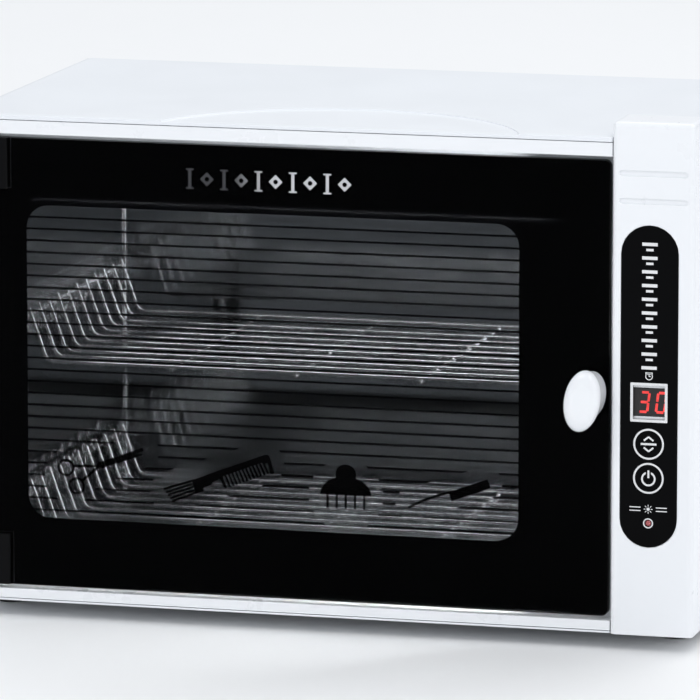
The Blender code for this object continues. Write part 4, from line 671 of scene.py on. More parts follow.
class CABINET_OT_feet(bpy.types.Operator):
    """Turn the four rubber feet and their screws"""

    bl_idname = "cabinet.feet"
    bl_label = "Feet"

    def execute(self, context):
        taper, rim_share, dish_share, bore_radius = 0.86, 0.28, 0.4, 2.0 * MM
        shank_radius, head_radius, head_height = 1.7 * MM, 3.4 * MM, 1.4 * MM
        for name in FEET:
            low, high, middle = box_of(f"foot_{name}")
            x, y = middle.x, middle.y
            radius, height = (high.x - low.x) / 2.0, high.z - low.z
            foot = add_rod(f"pad_{name}", middle, "Z", radius, height, 56)
            start_edit(foot, "FACE", lambda face: face.center.z < low.z + 0.1 * MM)
            bpy.ops.transform.resize(value=(taper, taper, 1.0), center_override=(x, y, low.z))
            bpy.ops.mesh.inset(thickness=radius * rim_share)
            pull_faces(0.0, 0.0, height * dish_share)
            leave_edit()
            carve(foot, add_rod("bore", (x, y, height / 2.0), "Z", bore_radius, height * 3.0, 32))
            settle(round_off(foot, 0.5 * MM, 3), "foot_rubber", f"foot_{name}")
            low, high, middle = box_of(f"foot_screw_{name}")
            shank = add_rod(f"fixing_{name}", (x, y, middle.z + 0.6 * MM), "Z", shank_radius,
                            high.z - low.z - 1.2 * MM, 28)
            fuse(shank, add_pan_screw("head", (x, y, low.z + head_height), "Z", -1.0, head_radius,
                                      head_height))
            settle(smooth(shank), "zinc", f"foot_screw_{name}")
        return {"FINISHED"}


class CABINET_OT_inlet(bpy.types.Operator):
    """Mould the mains inlet and set its metal pins"""

    bl_idname = "cabinet.inlet"
    bl_label = "Mains Inlet"

    def execute(self, context):
        low, high, middle = box_of("power_inlet")
        centre, body, socket = (middle.x, middle.z), (27.0 * MM, 20.0 * MM), (22.0 * MM, 14.0 * MM)
        flange_front, socket_floor = high.y - 2.0 * MM, high.y - 15.0 * MM
        inlet = add_slab("inlet", centre, (high.x - low.x, high.z - low.z), (flange_front, high.y), 3.0 * MM)
        bevel_edges(inlet, 0.8 * MM, 3, at_level(inlet, "Y", high.y))
        fuse(inlet, add_slab("body", centre, body, (low.y, flange_front + 0.5 * MM), MM))
        carve(inlet, add_slab("socket", centre, socket, (socket_floor, high.y + MM), 2.2 * MM))
        settle(round_off(inlet, 0.25 * MM), "black_moulding", "power_inlet")
        pins = []
        for across, rise in ((-7.0, -1.5), (0.0, 2.5), (7.0, -1.5)):
            spot = (middle.x + across * MM, middle.z + rise * MM)
            pin = add_plate("pin", spot, (2.0 * MM, 4.0 * MM), (socket_floor, high.y - 6.0 * MM))
            pins.append(round_off(pin, 0.35 * MM, 3))
        settle(gather("inlet_pins", pins), "brass")
        return {"FINISHED"}


# ----- Front frame and control column -----

class CABINET_OT_front(bpy.types.Operator):
    """Round the moulded front frame and the control column"""

    bl_idname = "cabinet.front"
    bl_label = "Front Mouldings"

    def execute(self, context):
        radius = context.scene.cabinet_details.mould_radius
        keep_solid("front_frame", "front_surround", radius, "white_moulding")
        column = refine("control_column", "column")
        low, high, _ = box_of("control_column")
        case_top = box_of("outer_shell")[1].z
        fuse(column, add_block("rear_lip", (low.x + MM, high.y - 2.0 * MM, case_top + 0.4 * MM),
                               (high.x - MM, high.y - 0.2 * MM, high.z - MM)))
        settle(round_off(column, radius * 0.5), "white_moulding", "control_column")
        return {"FINISHED"}


class CABINET_OT_panel(bpy.types.Operator):
    """Cut the glossy control panel and print its marks"""

    bl_idname = "cabinet.panel"
    bl_label = "Control Panel"

    def execute(self, context):
        size = (OVERLAY_HIGH.x - OVERLAY_LOW.x, OVERLAY_HIGH.z - OVERLAY_LOW.z)
        sheet = (OVERLAY_FRONT, OVERLAY_HIGH.y)
        panel = add_slab("panel", (OVERLAY_X, (OVERLAY_LOW.z + OVERLAY_HIGH.z) / 2.0), size, sheet,
                         size[0] / 2.0, 32)
        display, window, air = (OVERLAY_X, box_of("display_module")[2].z), (14.8 * MM, 15.6 * MM), 0.25 * MM
        cutters = [add_plate("window", display, window, past(sheet))]
        for node in ("select_button", "power_button", "power_led"):
            low, high, middle = box_of(node)
            cutters.append(add_disc("hole", (OVERLAY_X, middle.z), (high.z - low.z) / 2.0 + air,
                                    past(sheet), 72))
        settle(round_off(carve(panel, *cutters), 0.15 * MM), "panel_gloss", "control_overlay")

        layer = printed(OVERLAY_FRONT, context.scene.cabinet_details.mark_height)
        outline, line = (17.4 * MM, 18.2 * MM), 1.25 * MM
        inner = [side - 2.0 * line for side in outline]
        border = add_slab("border", display, outline, layer, 0.4 * MM, 3)
        marks = [carve(border, add_slab("inner", display, inner, past(layer), 0.2 * MM, 2))]
        marks += self.add_level_column(layer)
        marks.append(self.add_clock((OVERLAY_X, DOOR_TOP - 98.6 * MM), 1.75 * MM, layer))
        light_z = box_of("power_led")[2].z
        marks.append(add_ring("light_ring", (OVERLAY_X, light_z), 2.35 * MM, 0.55 * MM, layer, 48))
        marks += self.add_light_mark(OVERLAY_X, light_z + 6.6 * MM, layer)
        settle(gather("panel_marks", marks), "panel_white")
        return {"FINISHED"}

    def add_level_column(self, layer):
        """A column of plain dashes, wide and narrow by turns, in place of a legend."""
        top, pitch, count = DOOR_TOP - 37.5 * MM, 6.35 * MM, 10
        pair = ((0.0, (7.2 * MM, 1.5 * MM)), (2.6 * MM, (3.4 * MM, 1.1 * MM)))
        return [add_plate("dash", (OVERLAY_X, top - step * pitch - drop), size, layer)
                for step in range(count) for drop, size in pair]

    def add_clock(self, centre, radius, layer):
        """A small clock: a ring with two hands."""
        x, z = centre
        ring = add_ring("clock", centre, radius, radius * 0.22, layer, 40)
        upright = add_plate("hand", (x, z + radius * 0.28), (radius * 0.2, radius * 0.66), layer)
        level = add_plate("hand", (x + radius * 0.2, z), (radius * 0.56, radius * 0.2), layer)
        return gather("clock", [ring, fuse(upright, level)])

    def add_light_mark(self, x, z, layer):
        """A small lamp symbol: a disc with short rays, between two pairs of dashes."""
        rays, reach = 8, 1.65 * MM
        parts = [add_disc("disc", (x, z), 0.75 * MM, layer, 32)]
        for step in range(rays):
            angle = step * math.tau / rays
            parts.append(add_plate("ray", (x + reach * math.sin(angle), z + reach * math.cos(angle)),
                                   (0.3 * MM, 0.9 * MM), layer, angle))
        parts += [add_plate("dash", (x + across * MM, z + rise * MM), (5.2 * MM, 0.45 * MM), layer)
                  for across in (-6.2, 6.2) for rise in (-0.8, 0.8)]
        return parts


class CABINET_OT_display(bpy.types.Operator):
    """Set the two-digit display behind its window"""

    bl_idname = "cabinet.display"
    bl_label = "Display"

    def execute(self, context):
        recoat("display_module", "display_black")
        low, _, middle = box_of("display_module")
        layer = printed(low.y, 0.08 * MM)
        digits = [bar for shift, lit in ((-2.45 * MM, "abgcd"), (5.5 * MM, "abcdef"))
                  for bar in self.add_digit(middle.x + shift, middle.z, lit, layer)]
        settle(gather("display_digits", digits), "digit_red")
        return {"FINISHED"}

    def add_digit(self, middle, height, lit, layer):
        """The lit segments of one slanted digit; a is the top one, then clockwise, g the middle one."""
        width, tall, thick, gap = 5.0 * MM, 10.2 * MM, 1.15 * MM, 0.3 * MM
        slant = math.radians(7.0)
        half_width, half_tall = (width - thick) / 2.0, (tall - thick) / 2.0
        level, upright = (width - thick - 2.0 * gap, thick), (thick, half_tall - 2.0 * gap)
        layout = {
            "a": (0.0, half_tall, level), "d": (0.0, -half_tall, level), "g": (0.0, 0.0, level),
            "b": (half_width, half_tall / 2.0, upright), "c": (half_width, -half_tall / 2.0, upright),
            "e": (-half_width, -half_tall / 2.0, upright), "f": (-half_width, half_tall / 2.0, upright),
        }
        segments = []
        for x, z, size in (layout[letter] for letter in lit):
            bar = add_plate("segment", (middle + x + z * math.tan(slant), height + z), size, layer,
                            slant if size is upright else 0.0)
            segments.append(round_corners(bar, "Y", 0.3 * MM, 2))
        return segments


class CABINET_OT_keys(bpy.types.Operator):
    """Turn the two keys, print their rings and symbols, and set the light"""

    bl_idname = "cabinet.keys"
    bl_label = "Keys and Light"

    def execute(self, context):
        radius, ear_rise, ring_inset, ring_line = 7.3 * MM, 3.5 * MM, 0.12 * MM, 0.85 * MM
        symbols = {"select_button": self.add_select_symbol, "power_button": self.add_power_symbol}
        for body, add_symbol in symbols.items():
            low, high, middle = box_of(body)
            centre = (OVERLAY_X, middle.z)
            cap = add_disc(f"{body}_cap", centre, radius, (low.y, high.y), 96)
            fuse(cap, add_block("ears", (low.x, high.y - MM, middle.z - ear_rise),
                                (high.x, high.y, middle.z + ear_rise)))
            settle(round_off(cap, 0.12 * MM), "panel_gloss", body, body=body)
            layer = printed(low.y, context.scene.cabinet_details.mark_height)
            marks = [add_ring("ring", centre, radius - ring_inset, ring_line, layer, 96)]
            marks += add_symbol(*centre, layer)
            settle(gather(f"{body}_marks", marks), "panel_white", body=body)
        settle(smooth(refine("power_led", "light_lens_dome"), 60.0), "light_lens", "power_led")
        return {"FINISHED"}

    def add_select_symbol(self, x, z, layer):
        """Two small arrow heads, one up and one down, over and under a bar."""
        bar, stroke, lean = (7.4 * MM, 0.95 * MM), (2.9 * MM, 0.8 * MM), math.radians(38.0)
        parts = [add_plate("bar", (x, z), bar, layer)]
        for way in (1.0, -1.0):
            parts.append(fuse(*[add_plate("stroke", (x + side * 1.1 * MM, z + way * 2.5 * MM), stroke, layer,
                                          side * way * lean) for side in (-1.0, 1.0)]))
        return parts

    def add_power_symbol(self, x, z, layer):
        """An open ring with an upright stroke in its gap."""
        radius, line, gap, stroke = 3.4 * MM, 0.85 * MM, (2.4 * MM, 3.4 * MM), (0.9 * MM, 3.6 * MM)
        ring = add_ring("power", (x, z - 0.3 * MM), radius, line, layer)
        carve(ring, add_plate("gap", (x, z + 2.6 * MM), gap, past(layer)))
        return [ring, add_plate("stroke", (x, z + 1.9 * MM), stroke, layer)]


# ----- Door -----

def add_door_sheet(name, layer, corner_width, *cutters):
    """A layer of the door, less the given cutters, the hinge clamps' corners and the knob screw's hole."""
    sheet = add_slab(name, DOOR_CENTRE, DOOR_SIZE, layer, 3.0 * MM, 10)
    front, back = past(layer)
    cutters = list(cutters)
    for end in HINGES:
        low, high, _ = box_of(f"hinge_clamp_{end}")
        cutters.append(add_block("corner", (GLASS_LOW.x - MM, front, low.z - 0.3 * MM),
                                 (GLASS_LOW.x + corner_width, back, high.z + 0.3 * MM)))
    screw = box_of("knob_screw")[2]
    return carve(sheet, *cutters, add_disc("hole", (screw.x, screw.z), 2.3 * MM, past(layer), 40))


def on_door(across, drop):
    """A place on the door, from its centre line and below its top edge, in millimetres."""
    return DOOR_X + across * MM, DOOR_TOP - drop * MM


def add_stripe(name, start, end, width, layer, radius=0.0):
    """A printed stroke between two places on the door, with round ends if it has a radius; millimetres."""
    start, end = Vector(on_door(*start)), Vector(on_door(*end))
    run = end - start
    stripe = add_plate(name, (start + end) / 2.0, (run.length + 2.0 * radius * MM, width * MM), layer,
                       -math.atan2(run.y, run.x))
    return round_corners(stripe, "Y", radius * 0.999 * MM, 10) if radius else stripe


def add_oval(name, centre, radii, layer, sides=56):
    """A printed oval on the door; millimetres."""
    return add_disc(name, on_door(*centre), MM, layer, sides, radii)


class CABINET_OT_glass(bpy.types.Operator):
    """Cut the door's pane and polish its edges"""

    bl_idname = "cabinet.glass"
    bl_label = "Door Glass"

    def execute(self, context):
        pane = add_door_sheet("door_pane", (GLASS_LOW.y, GLASS_HIGH.y), 6.8 * MM)
        settle(round_off(pane, 0.4 * MM, 3), "door_tint", "door_glass", body="door")
        return {"FINISHED"}


class CABINET_OT_print(bpy.types.Operator):
    """Print the door: border, window lines and tool silhouettes"""

    bl_idname = "cabinet.door_print"
    bl_label = "Door Print"

    def execute(self, context):
        details = context.scene.cabinet_details
        print_low, print_high, _ = box_of("door_print")
        layer = (print_low.y, print_high.y)
        left, right = GLASS_LOW.x + details.window_left, GLASS_HIGH.x - details.window_right
        top, bottom = GLASS_HIGH.z - details.window_top, GLASS_LOW.z + details.window_bottom
        window = add_slab("window", ((left + right) / 2.0, (top + bottom) / 2.0),
                          (right - left, top - bottom), past(layer), details.window_radius, 16)
        border = add_door_sheet("door_ink", layer, 16.3 * MM, window)

        pitch, half_line = details.line_pitch, details.line_height / 2.0
        levels = [top - row * pitch for row in range(1, round((top - bottom) / pitch))]
        lines = gather("lines", [add_block("line", (left - MM, layer[0], z - half_line),
                                           (right + MM, layer[1], z + half_line)) for z in levels])
        fuse(border, carve(lines, *self.add_halos(past(layer))))
        pictures = [add_picture(layer) for add_picture in
                    (self.add_scissors, self.add_comb, self.add_clip, self.add_razor)]
        settle(gather("door_ink", [border] + pictures), "door_ink", "door_print", body="door")
        return {"FINISHED"}

    def add_halos(self, layer):
        """Clear patches in the lines, round each silhouette."""
        return [
            add_oval("halo", (-107.2, 159.6), (13.0, 13.0), layer),
            add_stripe("halo", (-102.6, 158.2), (-72.2, 146.0), 16.0, layer, 8.0),
            add_stripe("halo", (-58.6, 165.0), (-13.6, 149.0), 20.0, layer, 10.0),
            add_oval("halo", (26.1, 162.5), (18.0, 17.0), layer),
            add_stripe("halo", (57.4, 165.0), (93.4, 153.0), 15.0, layer, 7.5),
        ]

    def add_scissors(self, layer):
        """Open-handled scissors with a notched tip."""
        rings = [add_ring("finger_ring", on_door(*centre), 4.2 * MM, 1.2 * MM, layer)
                 for centre in ((-109.8, 155.8), (-104.6, 164.3))]
        blade = add_stripe("blade", (-94.4, 154.9), (-72.6, 147.2), 2.2, layer)
        carve(blade, add_stripe("nick", (-76.2, 147.7), (-70.6, 146.4), 0.8, past(layer)))
        return fuse(
            *rings, blade,
            add_stripe("blade", (-94.0, 153.6), (-72.0, 145.3), 1.7, layer),
            add_stripe("shank", (-106.2, 154.9), (-92.0, 154.3), 1.2, layer),
            add_stripe("shank", (-101.9, 161.6), (-91.6, 153.0), 1.3, layer),
            add_oval("pivot", (-92.2, 154.0), (1.8, 1.8), layer, 32))

    def add_comb(self, layer):
        """Lifting comb: a pronged tail, a waisted handle and a row of teeth."""
        run = Vector((49.4, -19.4)).normalized()
        across = Vector((-run.y, run.x))
        start = Vector((-59.2, 165.8))

        def stroke(name, first, last, width, radius=0.0):
            """A stroke between two places, each given as a distance along the comb and one across it."""
            first, last = (start + run * place[0] + across * place[1] for place in (first, last))
            return add_stripe(name, first, last, width, layer, radius)

        prongs = [stroke("prong", (-2.0 + 0.5 * step, 1.68 * step - 3.0), (13.4, 1.45 * step - 2.2), 1.0)
                  for step in range(5)]
        teeth = [stroke("tooth", (28.9 + step * 1.79, -0.6), (29.2 + step * 1.79, 6.4), 0.9)
                 for step in range(12)]
        return fuse(
            stroke("root", (12.4, 0.8), (16.6, 0.8), 6.6),
            stroke("handle", (15.8, 0.2), (21.4, -0.1), 5.0),
            stroke("waist", (20.0, -0.5), (27.6, -0.7), 3.9),
            stroke("spine", (14.0, -1.0), (50.8, -0.9), 3.0),
            stroke("spine_end", (49.6, -0.35), (50.6, -0.35), 4.0, 1.9),
            stroke("guard", (26.4, -0.6), (27.0, 6.2), 1.5),
            stroke("guard", (51.6, -0.6), (50.9, 7.2), 1.9),
            gather("prongs", prongs), gather("teeth", teeth))

    def add_clip(self, layer):
        """Claw clip: a round knob on a domed body with five prongs."""
        middle, waist, pitch = 26.1, 162.2, 4.4
        dome = add_oval("dome", (middle, waist), (12.3, 8.7), layer, 72)
        carve(dome, add_plate("flat", on_door(middle, waist + 10.0), (40.0 * MM, 20.0 * MM), past(layer)))
        prongs = [add_stripe("prong", (middle + step * pitch, waist - 0.4),
                             (middle + step * pitch, waist + 6.4), 1.05, layer) for step in range(-2, 3)]
        return fuse(dome, add_oval("knob_disc", (middle, 152.6), (4.9, 4.9), layer),
                    gather("prongs", prongs))

    def add_razor(self, layer):
        """Straight blade on a thin bowed handle."""
        return fuse(add_stripe("blade", (76.0, 160.6), (94.6, 153.4), 4.4, layer),
                    add_stripe("handle", (56.0, 166.5), (65.8, 161.7), 1.2, layer),
                    add_stripe("handle", (65.0, 162.0), (77.4, 157.8), 1.2, layer))


class CABINET_OT_title(bpy.types.Operator):
    """Print the plain silver ornament above the window"""

    bl_idname = "cabinet.title"
    bl_label = "Door Ornament"

    def execute(self, context):
        layer = (DOOR_FRONT - 0.06 * MM, DOOR_FRONT - 0.01 * MM)
        count, start, pitch, drop = 10, -47.6, 8.25, 15.9
        motifs = []
        for step in range(count):
            across = start + step * pitch
            if step % 2:
                lozenge = add_plate("lozenge", on_door(across, drop), (4.7 * MM, 4.7 * MM), layer,
                                    math.pi / 4.0)
                motifs.append(carve(lozenge, add_oval("eye", (across, drop), (1.1, 1.1), past(layer), 24)))
            else:
                bar = add_stripe("bar", (across, drop - 4.7), (across, drop + 4.7), 1.5, layer)
                ends = [add_stripe("end", (across - 1.9, level), (across + 1.9, level), 0.75, layer)
                        for level in (drop - 4.4, drop + 4.4)]
                motifs.append(fuse(bar, *ends))
        # The ornament's silver carries a painted sheen, dark at its left end and bright at its right.
        settle(gather("ornament", motifs), "title_foil", body="door")
        return {"FINISHED"}


class CABINET_OT_hinges(bpy.types.Operator):
    """Finish the hinge clamps with their grub screws, pins and washers"""

    bl_idname = "cabinet.hinges"
    bl_label = "Hinges"

    def execute(self, context):
        pin_radius, hole_radius, washer_radius = 1.5 * MM, 1.8 * MM, 3.2 * MM
        for end in HINGES:
            keep_solid(f"hinge_clamp_{end}", f"clamp_{end}", 0.25 * MM, "hinge_black", "door")
            low, high, _ = box_of(f"hinge_clamp_{end}")
            screws = [add_pan_screw("grub", (low.x + 11.5 * MM, high.y + 0.02 * MM,
                                             low.z + (high.z - low.z) * share), "Y", 1.0, 2.0 * MM, 0.5 * MM)
                      for share in (0.28, 0.72)]
            settle(gather(f"clamp_screws_{end}", screws), "zinc", body="door")
            low, high, middle = box_of(f"hinge_pin_{end}")
            pin = add_rod(f"pin_{end}", middle, "Z", pin_radius, high.z - low.z, 36)
            settle(round_off(pin, 0.3 * MM), "zinc", f"hinge_pin_{end}", body="door")
            low, high, level = box_of(f"hinge_washer_{end}")
            middle.z, thick = level.z, high.z - low.z
            washer = add_rod(f"washer_{end}", middle, "Z", washer_radius, thick)
            carve(washer, add_rod("hole", middle, "Z", hole_radius, 3.0 * thick))
            settle(round_off(washer, 0.2 * MM), "white_moulding", f"hinge_washer_{end}", body="door")
        return {"FINISHED"}


class CABINET_OT_knob(bpy.types.Operator):
    """Shape the oval knob and its screw"""

    bl_idname = "cabinet.knob"
    bl_label = "Knob"

    def execute(self, context):
        reach = DOOR_FRONT - box_of("knob")[0].y
        screw_low, screw_high, screw = box_of("knob_screw")
        x, z = screw.x, screw.z
        size, face, tilt = (7.5 * MM, 11.5 * MM), (8.5 * MM, 14.5 * MM), math.radians(10.0)
        depth, bore_radius, bore_depth, head_height = 0.3 * MM, 2.3 * MM, 8.3 * MM, 1.6 * MM
        put_down()
        bpy.ops.mesh.primitive_circle_add(vertices=72, radius=1.0, fill_type="NGON",
                                          location=(x, DOOR_FRONT - depth, z), rotation=AXIS_TURNS["Y"])
        bpy.context.object.scale = (*size, 1.0)
        knob = set_in_place("pull_knob")
        start_edit(knob, "FACE")
        for next_size, next_depth in self.sections(size, face, reach):
            pull_faces(0.0, depth - next_depth, 0.0)
            bpy.ops.transform.resize(value=(next_size[0] / size[0], 1.0, next_size[1] / size[1]),
                                     center_override=(x, DOOR_FRONT - next_depth, z))
            size, depth = next_size, next_depth
        face_one_way(inside=False)
        pivot = Vector((x, 0.0, z))
        knob.rotation_euler.y = tilt
        knob.location = pivot - knob.rotation_euler.to_matrix() @ pivot
        take_up(knob)
        set_in_place("pull_knob")
        carve(knob, add_disc("bore", (x, z), bore_radius, (DOOR_FRONT - bore_depth, DOOR_FRONT + MM), 40))
        settle(smooth(knob, 50.0), "knob_white", "knob", body="door")

        head = add_pan_screw("head", (x, screw_high.y - head_height, z), "Y", 1.0, 3.6 * MM, head_height)
        shank = add_rod("knob_fixing", (x, screw.y - 0.5 * MM, z), "Y", 2.0 * MM,
                        screw_high.y - screw_low.y - 1.2 * MM, 32)
        settle(smooth(fuse(shank, head)), "zinc", "knob_screw", body="door")
        return {"FINISHED"}

    def sections(self, neck, face, reach):
        """Half widths and depths of the knob: a straight neck, a flare, then a rounded face."""
        neck_end, flare_end, flare_steps, face_steps = 0.52, 0.80, 8, 12
        yield neck, reach * neck_end
        for step in range(1, flare_steps + 1):
            share = step / flare_steps
            swell = share * share * (3.0 - 2.0 * share)
            yield (tuple(narrow + (broad - narrow) * swell for narrow, broad in zip(neck, face)),
                   reach * (neck_end + (flare_end - neck_end) * share))
        for step in range(1, face_steps + 1):
            angle = math.radians(88.0) * step / face_steps
            inset = 1.0 - math.cos(angle)
            yield (tuple(broad * (1.0 - 0.5 * inset) for broad in face),
                   reach * (flare_end + (1.0 - flare_end) * math.sin(angle)))


class CABINET_OT_catch(bpy.types.Operator):
    """Finish the strike plate, the magnetic catch, the bumpers and the door switch"""

    bl_idname = "cabinet.catch"
    bl_label = "Catch and Switch"

    def execute(self, context):
        keep_solid("strike_plate", "strike", 0.2 * MM, "zinc", "door")
        keep_solid("magnet_catch", "catch_block", 0.3 * MM, "magnet_black")
        for end in HINGES:
            low, high, middle = box_of(f"door_bumper_{end}")
            bumper = add_rod(f"bumper_{end}", middle, "Y", (high.x - low.x) / 2.0, high.y - low.y)
            bevel_edges(bumper, 1.4 * MM, 5, at_level(bumper, "Y", low.y))
            settle(smooth(bumper, 50.0), "foot_rubber", f"door_bumper_{end}")
        settle(smooth(refine("door_switch_plunger", "plunger"), 50.0), "white_moulding",
               "door_switch_plunger", body="door_switch_plunger")
        keep_solid("door_switch_body", "switch_body", 0.3 * MM, "black_moulding")
        return {"FINISHED"}


# ----- Chamber -----

class CABINET_OT_chamber(bpy.types.Operator):
    """Fold the chamber from polished sheet, with its front flange"""

    bl_idname = "cabinet.chamber"
    bl_label = "Chamber"

    def execute(self, context):
        sheet, flange, roll, sink, air, notch_depth = (
            length * MM for length in (0.8, 6.0, 1.2, 0.35, 0.3, 8.0))
        reach = sheet + flange
        front = LINER_LOW.y + sheet
        low = Vector((LINER_LOW.x + reach, front, LINER_LOW.z + reach))
        high = Vector((LINER_HIGH.x - reach, LINER_HIGH.y - sheet, LINER_HIGH.z - reach))
        chamber = add_block("chamber", low, high)
        start_edit(chamber, "FACE", lambda face: face.center.y < front + NEAR)
        bpy.ops.mesh.delete(type="FACE")
        leave_edit()
        mouth = at_level(chamber, "Y", front)
        bevel_edges(chamber, context.scene.cabinet_details.bend_radius, 5, lambda edge: not mouth(edge))
        start_edit(chamber, "EDGE", mouth)
        middle = (low + high) / 2.0
        for step, depth in ((roll, -sink), (flange - roll, 0.0)):
            pull_edges(0.0, depth, 0.0)
            size = high - low
            bpy.ops.transform.resize(value=(1.0 + 2.0 * step / size.x, 1.0, 1.0 + 2.0 * step / size.z),
                                     center_override=(middle.x, front, middle.z))
            low, high = low - Vector((step, 0.0, step)), high + Vector((step, 0.0, step))
        face_one_way(inside=True)
        modify(chamber, "SOLIDIFY", thickness=sheet * 0.5, offset=-1.0)
        notch_left = LINER_HIGH.x - flange + air
        for node in ("magnet_catch", "door_switch_body"):
            node_low, node_high, _ = box_of(node)
            carve(chamber, add_block("notch", (notch_left, LINER_LOW.y - MM, node_low.z - air),
                                     (LINER_HIGH.x + MM, LINER_LOW.y + notch_depth, node_high.z + air)))
        settle(smooth(chamber), "chamber_steel", "chamber_liner")
        for side in SIDES:
            keep_solid(f"chamber_support_{side}", f"support_{side}", 0.2 * MM, "zinc")
            keep_solid(f"tray_rail_{side}", f"rail_{side}", 0.15 * MM, "folded_steel")
        return {"FINISHED"}


class CABINET_OT_trays(bpy.types.Operator):
    """Bend one tray wire, copy it along the rods and weld both trays"""

    bl_idname = "cabinet.trays"
    bl_label = "Wire Trays"

    def execute(self, context):
        details = context.scene.cabinet_details
        radius, rod = details.wire_radius, details.rod_radius
        overhang, rise, side_air, weld, count = 1.6 * MM, 21.0 * MM, 10.6 * MM, 0.3 * radius, 11
        rod_x = (LINER_HIGH.x - LINER_LOW.x) / 2.0 - side_air - rod
        for tray in ("upper_tray", "lower_tray"):
            low, high, middle = box_of(tray)
            front, length = low.y + overhang, high.y - low.y
            pitch = (length - 2.0 * overhang) / (count - 1)
            wire_z = low.z + 3.0 * radius - weld
            first = self.add_wire(front, wire_z, rod_x - rod - radius + weld, radius, rise)
            wires = [first] + [copy_piece(first, "wire", (0.0, step * pitch, 0.0))
                               for step in range(1, count)]
            rods = [add_rod("cross_rod", (DOOR_X + across * MM, middle.y, low.z + radius), "Y", radius,
                            length, 14) for across in (-60.0, 0.0, 60.0)]
            rods += [add_rod("rim_rod", (DOOR_X + across, middle.y, wire_z + rise), "Y", rod, length, 20)
                     for across in (-rod_x, rod_x)]
            for piece in rods:
                lengthwise = along(piece, "Y")
                bevel_edges(piece, 0.4 * MM, 2, lambda edge: not lengthwise(edge))
            rack = fuse(gather(f"{tray}_rack", wires), gather("rods", rods))
            settle(smooth(rack, 45.0), "tray_chrome", tray, body=tray)
        return {"FINISHED"}

    def add_wire(self, y, z, reach, radius, rise):
        """A wire, drawn from its middle out: straight, bent up and leaning, then mirrored."""
        lean, tip, bend = 7.5 * MM, 4.0 * MM, 5.0 * MM
        slope = math.atan2(rise, lean)
        corner = reach - lean
        bend_start = corner - bend * math.tan(slope / 2.0)
        end_x, end_z = corner + lean * (1.0 + tip / rise), rise + tip
        bend_x, bend_z = bend_start + bend * math.sin(slope), bend * (1.0 - math.cos(slope))
        put_down()
        bpy.ops.mesh.primitive_circle_add(vertices=12, radius=radius, fill_type="NOTHING",
                                          location=(0.0, y, z), rotation=AXIS_TURNS["X"])
        wire = set_in_place("wire")
        start_edit(wire, "EDGE")
        pull_edges(bend_start, 0.0, 0.0)
        bpy.ops.mesh.spin(steps=7, angle=slope, center=(bend_start, y, z + bend), axis=(0.0, 1.0, 0.0))
        pull_edges(end_x - bend_x, 0.0, end_z - bend_z)
        bpy.ops.mesh.edge_face_add()
        leave_edit()
        bevel_edges(wire, 0.3 * MM, 2, lambda edge: self.is_tip(edge_ends(wire, edge), z + end_z, radius))
        modify(wire, "MIRROR", merge_threshold=0.001 * MM)
        start_edit(wire, "FACE")
        face_one_way(inside=False)
        wire.location.x = DOOR_X
        return set_in_place("wire")

    def is_tip(self, ends, top, radius):
        """True for an edge of the wire's cut end."""
        return all(end.z > top - radius for end in ends) and (ends[1] - ends[0]).length < 1.2 * radius


class CABINET_OT_lamp(bpy.types.Operator):
    """Make the lamp tube with its caps and pins, its sockets and its reflector"""

    bl_idname = "cabinet.lamp"
    bl_label = "Lamp"

    def execute(self, context):
        low, high, middle = box_of("lamp_tube")
        y, z = middle.y, middle.z
        radius = (high.y - low.y) / 2.0
        pin_length, cap_length, pin_shift, pin_radius, overlap, crimp = (
            length * MM for length in (6.5, 9.0, 2.5, 1.1, 0.6, 0.35))
        left, right = low.x + pin_length, high.x - pin_length
        tube = add_rod("tube", middle, "X", radius - crimp, right - left - 2.0 * (cap_length - overlap), 64)
        settle(round_off(tube, 0.3 * MM), "lamp_tube_white", "lamp_tube", body="lamp")
        caps, pins = [], []
        for side, end in ((1.0, left), (-1.0, right)):
            inner = end + side * cap_length
            cap = add_rod("cap", (end + side * cap_length / 2.0, y, z), "X", radius, cap_length, 64)
            bevel_edges(cap, 0.8 * MM, 3, at_level(cap, "X", end))
            start_edit(cap, "FACE", lambda face: abs(face.center.x - inner) < NEAR)
            bpy.ops.mesh.inset(thickness=0.5 * MM)
            pull_faces(-side * 0.4 * MM, 0.0, 0.0)
            leave_edit()
            caps.append(smooth(cap))
            length = pin_length - 0.1 * MM
            for shift in (-pin_shift, pin_shift):
                pin = add_rod("pin", (end - side * length / 2.0, y, z + shift), "X", pin_radius, length, 24)
                pins.append(round_off(pin, 0.35 * MM, 3))
        settle(gather("tube_caps", caps), "cap_aluminium", body="lamp")
        settle(gather("tube_pins", pins), "brass", body="lamp")
        for side in SIDES:
            keep_solid(f"lamp_holder_{side}", f"lamp_socket_{side}", 0.3 * MM, "white_moulding")
        keep_solid("lamp_reflector", "reflector", 0.12 * MM, "lamp_mirror")
        return {"FINISHED"}


class CABINET_OT_electrics(bpy.types.Operator):
    """Finish the ballast and the control board"""

    bl_idname = "cabinet.electrics"
    bl_label = "Electrics"

    def execute(self, context):
        keep_solid("ballast", "ballast_case", 0.3 * MM, "ballast_white")
        recoat("control_board", "board")
        return {"FINISHED"}


# ----- Stage -----

def aim_at(name, data, target, azimuth, elevation, distance):
    """Set a light or camera round a point, aimed at it; azimuth 0 is before the door, 90 on its right."""
    turn, lift = math.radians(azimuth), math.radians(elevation)
    away = Vector((math.sin(turn) * math.cos(lift), -math.cos(turn) * math.cos(lift), math.sin(lift)))
    made = bpy.data.objects.new(name, data)
    bpy.context.scene.collection.objects.link(made)
    made.location = Vector(target) + away * distance
    made.rotation_euler = (-away).to_track_quat("-Z", "Y").to_euler()
    return made


